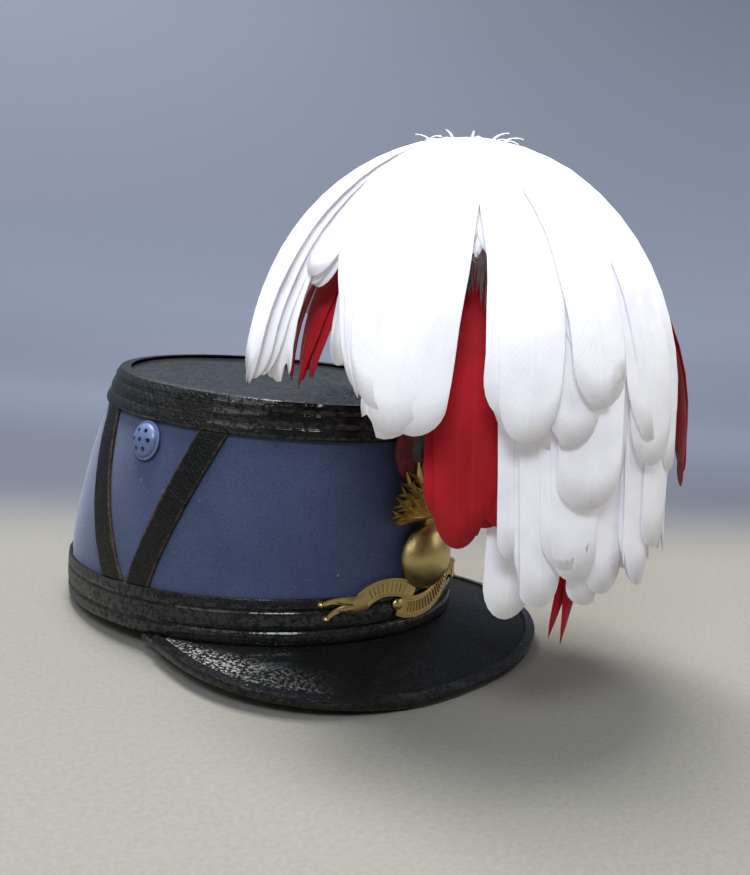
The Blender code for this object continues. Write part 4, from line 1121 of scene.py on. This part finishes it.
def makePlume():
    white = featherPaint("whiteFeather", (0.92, 0.91, 0.92), (0.79, 0.765, 0.82), (0.86, 0.83, 0.78), 0.12,
                         0.08)
    grey = featherPaint("greyDown", (0.105, 0.070, 0.062), (0.05, 0.035, 0.032), (0.10, 0.07, 0.06), 0.1)
    red = featherPaint("redFeather", (0.46, 0.008, 0.020), (0.33, 0.005, 0.012), (0.42, 0.015, 0.02), 0.12,
                       0.04)
    rows = (
        ("plumeWhite", "plume_white", "white_feather", white, whiteLocks, 0.0, 0.0150, 0.017, 7),
        ("plumeRed", "plume_red", "red_feather", red, redLocks, plume["redDrop"], 0.0125, 0.016, 11),
    )
    for name, node, slot, paint, locks, drop, half, fall, seed in rows:
        draw = random.Random(seed)
        top = plume["top"] - drop - plume["lockThickness"] / 2.0
        bm = bmesh.new()
        addLocks(bm, locks, draw, top, plume["shoulder"] - drop * 0.5, half, fall)
        if locks is whiteLocks:
            addCoverts(bm, draw, top)
            addFluff(bm, draw, top)
            addDown(bm, draw, top)
        piece = finishPiece(bm, name, node, slot, [paint, grey], 80.0)
        thicken(piece, plume["featherThickness"], 0.0)
        bm = bmesh.new()
        addHead(bm, top, plume["headRadius"] - drop * 0.15)
        finishPiece(bm, name + "Head", None, slot, [paint], 60.0)
        print(name)


# Camera, floor and light

camera = dict(
    turn=-0.8255, rise=0.1318,  # round the hat and up, in radians
    distance=0.5682,  # from the hat's middle
    slideRight=0.06295, slideUp=0.07881, roll=0.01479, focal=1063.0, imageWidth=750.0, sensor=36.0,
)


def makeCamera():
    turn, rise = camera["turn"], camera["rise"]
    back = Vector((sin(turn) * cos(rise), -cos(turn) * cos(rise), sin(rise)))
    right = (-back).cross(Vector((0.0, 0.0, 1.0))).normalized()
    over = right.cross(-back)
    cosine, sine = cos(camera["roll"]), sin(camera["roll"])
    right, over = right * cosine + over * sine, over * cosine - right * sine
    place = back * camera["distance"] + right * camera["slideRight"] + over * camera["slideUp"]
    turned = Matrix((right, over, back)).transposed().to_4x4()
    lens = bpy.data.cameras.new("camera")
    lens.sensor_width = camera["sensor"]
    lens.sensor_fit = "HORIZONTAL"
    lens.lens = camera["focal"] * camera["sensor"] / camera["imageWidth"]
    lens.clip_start = 0.01
    eye = addObject("camera", lens)
    eye.matrix_world = hatPlace @ Matrix.Translation(place) @ turned
    bpy.context.scene.camera = eye
    return eye


# The floor turns from pale to blue-grey at wallAhead behind the hat, as seen by the camera
studio = dict(
    floorRadius=1.6, wallRadius=2.6, wallHeight=2.4, wallAhead=0.222, softness=0.105, skew=0.18,
    steps=96, aim=(0.0, -0.02, 0.10), air=(0.80, 0.86, 1.0, 1.0), airStrength=0.45,
)


def makeStudio(eye):
    view = -(eye.matrix_world.to_3x3() @ Vector((0.0, 0.0, 1.0)))
    view.z = 0.0
    view.normalize()
    bm = bmesh.new()
    bend = studio["wallRadius"] - studio["floorRadius"]
    arc = [pi / 2.0 * step / 12 for step in range(13)]
    profile = [(0.001, 0.0), (studio["floorRadius"], 0.0)]
    profile += [(studio["floorRadius"] + bend * sin(angle), bend * (1.0 - cos(angle)))
                for angle in arc[1:]]
    profile.append((studio["wallRadius"], studio["wallHeight"]))
    spinProfile(bm, profile, studio["steps"])
    rim = [edge for edge in bm.edges if edge.is_boundary and edge.verts[0].co.z < 0.01]
    bmesh.ops.holes_fill(bm, edges=rim)
    mesh = meshFrom(bm, "backdrop")
    mesh.shade_smooth()
    paint = Paint("backdropPaper", roughness=0.9, shine=0.2)
    right = Vector((view.y, -view.x, 0.0))
    dot = dict(operation="DOT_PRODUCT")
    away = paint.node("ShaderNodeVectorMath", dot, {0: paint.where, 1: view}, out="Value")
    aside = paint.node("ShaderNodeVectorMath", dot, {0: paint.where, 1: right}, out="Value")
    fibres = paint.grain(420.0, 3.0)
    tone = paint.grain(5.0, 2.0)
    height = paint.node("ShaderNodeSeparateXYZ", None, {0: paint.where}, out="Z")
    pale = paint.blend(fibres, (0.197, 0.187, 0.161), (0.272, 0.258, 0.224))
    # Painted light and shade on the backdrop: its blue-grey is darker near the hat, lighter farther off and
    # up the wall, and lighter up the wall to the camera's left than to its right
    near = paint.blend(paint.between(away, 0.34, 0.75), (0.100, 0.108, 0.132), (0.160, 0.178, 0.228))
    far = paint.blend(paint.between(away, 0.75, 1.9), near, (0.360, 0.395, 0.480))
    high = paint.blend(paint.between(aside, -1.2, 1.2), (0.76, 0.81, 0.89), (0.36, 0.39, 0.45))
    wall = paint.blend(paint.between(height, 0.0, 1.1), far, high)
    ahead = away - aside * studio["skew"] + tone * 0.015
    share = paint.between(ahead, studio["wallAhead"] - studio["softness"],
                          studio["wallAhead"] + studio["softness"])
    colour = paint.blend(share, pale, wall)
    mesh.materials.append(paint.finish(colour, normal=paint.bump(fibres, 0.0004, 0.35)))
    addObject("backdrop", mesh)


lightRow = namedtuple("lightRow", "name x y z wide tall watts colour")
lights = (
    lightRow("windowBehind", 0.06, 0.55, 1.32, 0.24, 0.24, 8.0, (1.0, 0.98, 0.95)),
    lightRow("roofSoft", 0.00, 0.20, 1.65, 0.75, 0.75, 35.0, (0.95, 0.97, 1.0)),
    lightRow("rightSoft", 0.85, -1.05, 0.95, 1.1, 1.1, 7.5, (1.0, 0.99, 0.97)),
    lightRow("sideSoft", -1.20, 0.10, 0.75, 0.7, 0.7, 2.5, (0.90, 0.94, 1.0)),
    lightRow("sideWindow", -0.98, -0.68, 1.15, 0.62, 0.40, 14.0, (0.84, 0.92, 1.0)),
)


def makeLights():
    middle = Vector(studio["aim"])
    for row in lights:
        lamp = bpy.data.lights.new(row.name, "AREA")
        lamp.shape = "RECTANGLE"
        lamp.size = row.wide
        lamp.size_y = row.tall
        lamp.energy = row.watts
        lamp.color = row.colour
        placed = addObject(row.name, lamp)
        placed.location = Vector((row.x, row.y, row.z))
        placed.rotation_euler = (middle - placed.location).to_track_quat("-Z", "Y").to_euler()
    world = bpy.data.worlds.new("studioAir")
    world.use_nodes = True
    air = world.node_tree.nodes["Background"]
    air.inputs["Color"].default_value = studio["air"]
    air.inputs["Strength"].default_value = studio["airStrength"]
    bpy.context.scene.world = world
    bpy.context.scene.view_settings.view_transform = "Standard"
    print("lights")


makeStudio(makeCamera())
makeLights()
makeCrown()
makeBands()
makeTopPlate()
makePeak()
makeBinding()
makeStraps()
makeVents()
makeCockade()
makeBadge()
makePlume()
cad["plume_stem"].data.materials.clear()
cad["plume_stem"].data.materials.append(ironPaint())
